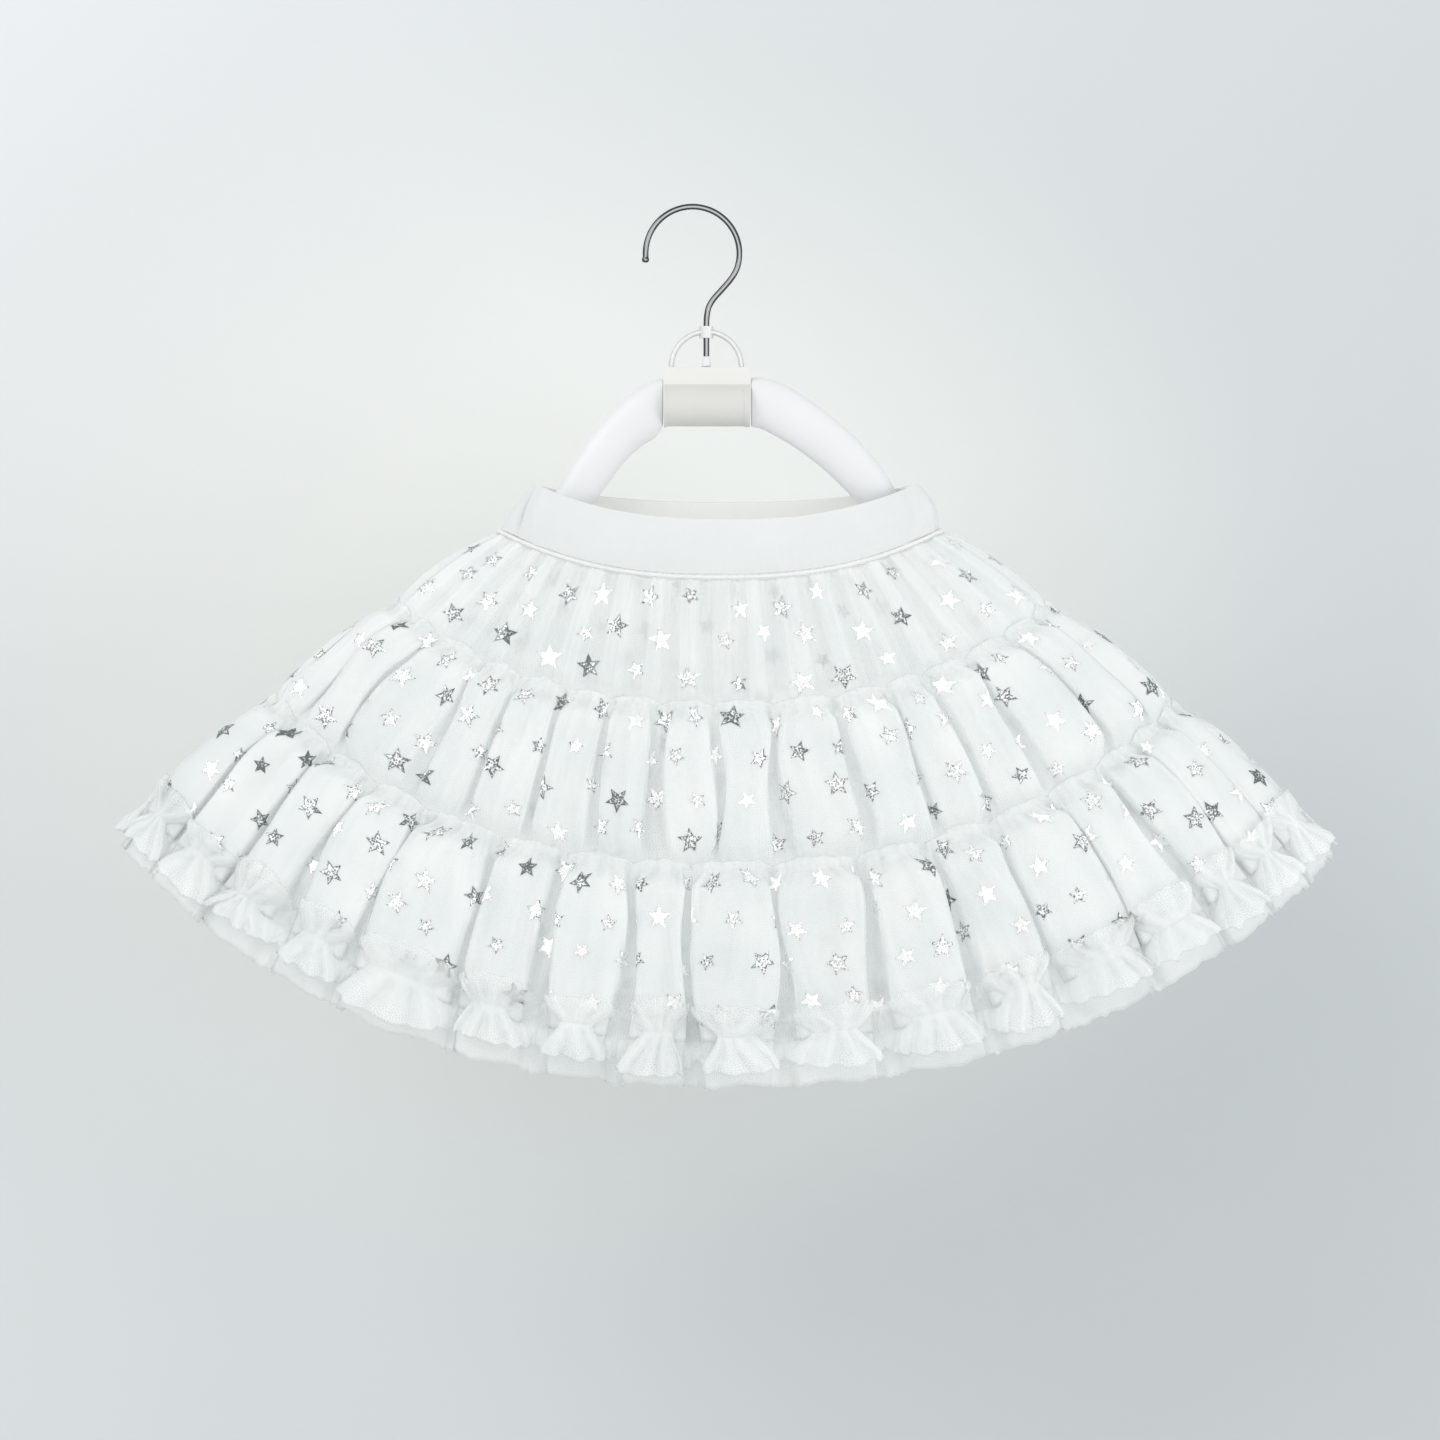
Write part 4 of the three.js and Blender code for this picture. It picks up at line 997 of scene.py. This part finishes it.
def pickFaces(piece, test):
    # selects only the faces that pass the test, in face mode
    bpy.ops.mesh.select_mode(type="FACE")
    bpy.ops.mesh.select_all(action="DESELECT")
    mesh = bmesh.from_edit_mesh(piece.data)
    mesh.faces.ensure_lookup_table()
    for face in mesh.faces:
        if test(face.calc_center_median(), face.normal):
            face.select = True
    mesh.select_flush_mode()
    bmesh.update_edit_mesh(piece.data)


def cutAcross(place, normal):
    bpy.ops.mesh.select_mode(type="VERT")
    bpy.ops.mesh.select_all(action="SELECT")
    bpy.ops.mesh.bisect(plane_co=place, plane_no=normal)


# wire thickness, crown from one angle to the other (degrees), points of the tail (x, z), and the bead on
# the tip: its drop below the crown's end and its thickness (mm)
hook = {
    "wire": 2.6, "crownRadius": 20.66, "from": 184, "to": -8, "steps": 34, "tailSteps": 30,
    "tail": [
        (19.6, -25.8), (18.0, -29.0), (15.6, -32.2), (12.6, -35.6), (9.4, -39.2), (7.2, -42.8), (6.3, -47),
        (6.1, -52), (6.1, -58), (6.1, -64.6),
    ],
    "bead": [(2.5, 1.5), (2.15, 2.7), (1.6, 3.2), (0.9, 3.2), (0.4, 2.7)], "beadLean": 0.06,
}


def smoothRun(points, count):
    # evenly spaced points on a curve through the given ones
    p = np.array([points[0], *points, points[-1]], dtype=float)
    out = []
    for a, b, c, d in zip(p, p[1:], p[2:], p[3:]):
        for t in np.linspace(0, 1, 12, endpoint=False):
            bend = (2 * a - 5 * b + 4 * c - d) * t ** 2 + (3 * b - a - 3 * c + d) * t ** 3
            out.append(0.5 * (2 * b + (c - a) * t + bend))
    out = np.array([*out, p[-1]])
    s = np.concatenate([[0], np.cumsum(np.linalg.norm(np.diff(out, axis=0), axis=1))])
    want = np.linspace(0, s[-1], count)
    return [(np.interp(w, s, out[:, 0]), np.interp(w, s, out[:, 1])) for w in want]


def makeHook():
    centreZ = hook["wire"] / 2 - hook["crownRadius"]
    turns = np.radians(np.linspace(hook["from"], hook["to"], hook["steps"]))
    crown = [(hook["crownRadius"] * math.cos(a), centreZ + hook["crownRadius"] * math.sin(a)) for a in turns]
    tail = smoothRun([crown[-1], *hook["tail"]], hook["tailSteps"])[1:]
    x, z = crown[0]
    bead = [(x - hook["beadLean"] * drop, z - drop, size, size) for drop, size in hook["bead"]]
    wire = [(x, z, hook["wire"], hook["wire"]) for x, z in crown + tail]
    piece = walkSection("wire_hook", bead + wire, 16)
    closedMesh(piece, chromeMaterial(), "chrome_wire", "hanger_hook", 50)


clearRing = {
    "centreX": 6.1, "radius": 15.4, "wall": 2.4, "depth": 5, "base": -69.2, "steps": 40,
    "bossRadius": 3.1, "bossTop": -51.4, "bossBottom": -56.6, "bore": 1.65,
}


def makeClearRing():
    c = clearRing
    centreX, base, radius = c["centreX"] * mm, c["base"] * mm, c["radius"] * mm
    foot = Vector((centreX + radius, 0, base))
    piece = startPiece("clear_half_ring", bpy.ops.mesh.primitive_circle_add, vertices=20,
                       radius=0.5 * mm, location=foot)
    bpy.ops.object.mode_set(mode="EDIT")
    bpy.ops.mesh.select_all(action="SELECT")
    bpy.ops.transform.resize(value=(c["wall"], c["depth"], 1), center_override=foot)
    bpy.ops.mesh.edge_face_add()
    bpy.ops.mesh.spin(steps=c["steps"], angle=math.pi, center=(centreX, 0, base), axis=(0, 1, 0))
    mergeOutwards()
    # boss round the stem, then its bore
    middle, height = (c["bossTop"] + c["bossBottom"]) / 2 * mm, (c["bossTop"] - c["bossBottom"]) * mm
    for kind, wide, tall in (("UNION", c["bossRadius"], height), ("DIFFERENCE", c["bore"], 2 * height)):
        other = startPiece("boss", bpy.ops.mesh.primitive_cylinder_add, vertices=32,
                           radius=wide * mm, depth=tall, location=(centreX, 0, middle))
        applyModifier(piece, "BOOLEAN", operation=kind, object=other, solver="EXACT")
        bpy.data.objects.remove(other, do_unlink=True)
    closedMesh(piece, clearMaterial(), "clear_plastic", "hanger_clear_ring", 40)


stemNub = {"x": 6.1, "radius": 2.2, "top": -64.9, "bottom": -69.2, "taper": 0.82, "edge": 0.45}


def makeNub():
    n = stemNub
    middle = n["x"] * mm, 0, (n["top"] + n["bottom"]) / 2 * mm
    piece = startPiece("stem_end_nub", bpy.ops.mesh.primitive_cylinder_add, vertices=28,
                       radius=n["radius"] * mm, depth=(n["top"] - n["bottom"]) * mm, location=middle)
    bpy.ops.object.mode_set(mode="EDIT")
    pickFaces(piece, lambda at, normal: normal.z > 0.9)
    top = Vector((n["x"], 0, n["top"])) * mm
    bpy.ops.transform.resize(value=(n["taper"], n["taper"], 1), center_override=top)
    bpy.ops.object.mode_set(mode="OBJECT")
    roundOver(piece, n["edge"])
    closedMesh(piece, whiteStyrene, "white_plastic", "hanger_stem_nub", 50)


centreBlock = {
    "left": -12.5, "right": 25.3, "top": -69.5, "plateDepth": 8.4, "plateFrom": -76.4,
    "barrelRadius": 9.75, "barrelZ": -86.05, "leftRim": 1.0, "rightRim": 2.4,
    "rimStep": 0.25, "recess": 0.35, "edge": 0.5,
}


def makeBlock():
    # barrel with its top drawn up into a flat plate, and a shallow recess between its two rims
    b = centreBlock
    left, right, radius = b["left"] * mm, b["right"] * mm, b["barrelRadius"] * mm
    reach = b["plateDepth"] / 2 * mm
    middle = Vector(((left + right) / 2, 0, b["barrelZ"] * mm))
    piece = startPiece("hanger_centre_barrel", bpy.ops.mesh.primitive_cylinder_add, vertices=56,
                       radius=radius, depth=right - left, location=middle, rotation=(0, math.pi / 2, 0))
    bpy.ops.object.transform_apply(location=True, rotation=True, scale=False)
    bpy.ops.object.mode_set(mode="EDIT")
    for y in (-reach, reach):
        cutAcross((0, y, 0), (0, 1, 0))
    pickFaces(piece, lambda at, normal: abs(normal.x) < 0.5 and at.z > middle.z and abs(at.y) < reach)
    bpy.ops.mesh.extrude_region_move(TRANSFORM_OT_translate={"value": (0, 0, 4 * mm)})
    mesh = bmesh.from_edit_mesh(piece.data)
    for vertex in mesh.verts:
        if vertex.select:
            vertex.co.z = b["top"] * mm                       # the plate's top is flat
    bmesh.update_edit_mesh(piece.data)
    inner = left + b["leftRim"] * mm, right - b["rightRim"] * mm
    for x in inner:
        cutAcross((x, 0, 0), (1, 0, 0))

    def onBarrel(at, normal):
        curved = math.hypot(at.y, at.z - middle.z) < 1.02 * radius and normal.z < 0.93
        return curved and abs(normal.x) < 0.5 and inner[0] < at.x < inner[1]

    pickFaces(piece, onBarrel)
    bpy.ops.mesh.inset(thickness=b["rimStep"] * mm, depth=-b["recess"] * mm, use_even_offset=False)
    bpy.ops.object.mode_set(mode="OBJECT")
    roundOver(piece, b["edge"])
    closedMesh(piece, warmStyrene, "white_plastic", "hanger_centre_block", 32)
    piece.data.materials.append(paleStyrene)
    for face in piece.data.polygons:
        if face.center.z > b["plateFrom"] * mm:
            face.material_index = 1              # the plate is given a paler colour than the barrel


# centre line of each arm: x, z, height across the run, depth front to back
arms = {
    "left": [
        (-12.9, -85.2, 22, 12.6), (-16.6, -86.9, 23.2, 12.6), (-20.6, -89.6, 23.6, 12.6),
        (-25.0, -93.0, 22, 12.4), (-30.0, -97.2, 20.2, 12.2), (-35.2, -102.8, 19.2, 11.9),
        (-40.0, -108.9, 18.6, 11.6), (-44.2, -115, 18.2, 11.2), (-48.0, -121.0, 17.6, 11),
        (-52.0, -126.6, 16.6, 10), (-57.0, -131.2, 14.6, 9), (-63.6, -134.2, 12.0, 7.6),
        (-70.0, -134.4, 8.6, 5.6), (-73.8, -133.2, 5.0, 3.4),
    ],
    "right": [
        (25.7, -84.8, 22, 12.6), (30.0, -85.0, 22.6, 12.6), (34.6, -86.2, 22.8, 12.6),
        (41.6, -90.0, 22, 12.4), (49.0, -94.8, 21, 12.2), (54.2, -98.6, 20.7, 12),
        (59.0, -102.4, 20.4, 11.8), (64.0, -106.6, 20.2, 11.6), (68.8, -111.2, 19.8, 11.4),
        (74.2, -117.2, 19, 11), (79.2, -123.2, 17.8, 10.4), (83.6, -128.8, 15.8, 9.4),
        (88.2, -132.8, 13, 8), (94.0, -134.2, 9, 5.8), (98.4, -133.4, 5.2, 3.4),
    ],
}


def makeArm(side):
    piece = walkSection("hanger_" + side + "_arm_piece", arms[side], 24, 3)
    roundOver(piece, 0.8)
    applyModifier(piece, "SUBSURF", levels=1, render_levels=1)
    closedMesh(piece, whiteStyrene, "white_plastic", "hanger_" + side + "_arm", 60)


makeArm("left")
makeArm("right")
makeBlock()
makeNub()
makeClearRing()
makeHook()
print("hanger: done")


# a pale wall, two soft lights and the camera: places in metres, wallY, scale and middle in mm
setting = {
    # the wall's shade and glow colours are painted shade and a painted pool of light
    "wallY": 150, "wallSize": 6, "wallColour": "#D6D9DB", "wallPaintedShade": "#BEC3C5", "wallPaintedLight": "#E4E6E4",
    "scale": 0.44, "distance": 3.2, "middle": (12.1, -224.6), "imageWidth": 1440, "sensor": 36,
    "key": {"at": (-1.2, -0.95, 0.7), "size": 1.0, "power": 10},
    "fill": {"at": (1.5, -1.0, -0.25), "size": 1.2, "power": 11},
    "world": "#E6E7E6", "worldStrength": 1.12,
}


def wallMaterial():
    # matt wall, with painted shade that darkens it to the right and the bottom, a painted pool of light
    # behind the hanger, and clear when seen from behind
    material, tree = newMaterial("matt_wall_paint")
    place = node(tree, "TexCoord").outputs["Object"]
    # painted shade: the colour turns darker to the right and the bottom
    apart = node(tree, "VectorMath", {"operation": "DOT_PRODUCT"}, i0=place, i1=(1.0, -0.6, 0.0))
    cloud = node(tree, "TexNoise", Vector=place, Scale=3.0, Detail=1.0)
    side = node(tree, "MapRange", Value=apart.outputs["Value"], From_Min=-0.48, From_Max=0.53,
                To_Min=-0.1, To_Max=1.0)
    shade = node(tree, "Math", {"operation": "MULTIPLY_ADD", "use_clamp": True}, i0=cloud, i1=0.25, i2=side)
    tone = node(tree, "Mix", {"data_type": "RGBA"}, i0=shade,
                i6=linear(setting["wallColour"]), i7=linear(setting["wallPaintedShade"])).outputs[2]
    # painted light: a soft pale pool round the hanger
    flatter = node(tree, "Mapping", Vector=place, Location=(0.05, 0, 0), Scale=(1, 1.2, 0))
    away = node(tree, "VectorMath", {"operation": "LENGTH"}, i0=flatter)
    paintedLightWeight = node(tree, "MapRange", {"interpolation_type": "SMOOTHSTEP"}, Value=away.outputs["Value"],
                From_Min=0.08, From_Max=0.38, To_Min=1.0, To_Max=0.0)
    glow = node(tree, "Mix", {"data_type": "RGBA"}, i0=paintedLightWeight, i6=tone,
                i7=linear(setting["wallPaintedLight"])).outputs[2]
    paint = node(tree, "BsdfPrincipled", Base_Color=glow, Roughness=1.0, Specular_IOR_Level=0.1)
    face = node(tree, "NewGeometry")
    clear = node(tree, "BsdfTransparent")
    return closeMaterial(material, node(tree, "MixShader", i0=face.outputs["Backfacing"], i1=paint, i2=clear))


def makeWall():
    wall = startPiece("wall_backdrop", bpy.ops.mesh.primitive_plane_add, size=setting["wallSize"],
                      location=(0, setting["wallY"] * mm, -0.2), rotation=(math.pi / 2, 0, 0))
    wall.data.materials.append(wallMaterial())


def makeLight(name, look, target):
    light = bpy.data.lights.new(name, "AREA")
    light.shape = "DISK"
    light.size = look["size"]
    light.energy = look["power"]
    lamp = bpy.data.objects.new(name, light)
    bpy.context.scene.collection.objects.link(lamp)
    lamp.location = look["at"]
    lamp.rotation_euler = (target - lamp.location).to_track_quat("-Z", "Y").to_euler()


def makeCamera():
    camera = bpy.data.cameras.new("camera")
    holder = bpy.data.objects.new("camera", camera)
    bpy.context.scene.collection.objects.link(holder)
    x, z = setting["middle"]
    holder.location = (x * mm, -setting["distance"], z * mm)
    holder.rotation_euler = (math.pi / 2, 0, 0)
    camera.sensor_width = setting["sensor"]
    camera.lens = setting["sensor"] * setting["distance"] / (setting["imageWidth"] * setting["scale"] * mm)
    bpy.context.scene.camera = holder


def makeWorld():
    world = bpy.data.worlds.new("studio")
    bpy.context.scene.world = world
    world.use_nodes = True
    background = world.node_tree.nodes["Background"]
    background.inputs[0].default_value = linear(setting["world"])
    background.inputs[1].default_value = setting["worldStrength"]


makeWall()
middle = Vector((setting["middle"][0] * mm, 0, setting["middle"][1] * mm))
makeLight("key_softbox", setting["key"], middle)
makeLight("fill_softbox", setting["fill"], middle)
makeWorld()
makeCamera()
bpy.context.scene.view_settings.view_transform = "Standard"
bpy.context.scene.cycles.transparent_max_bounces = 10
print("stage: done")
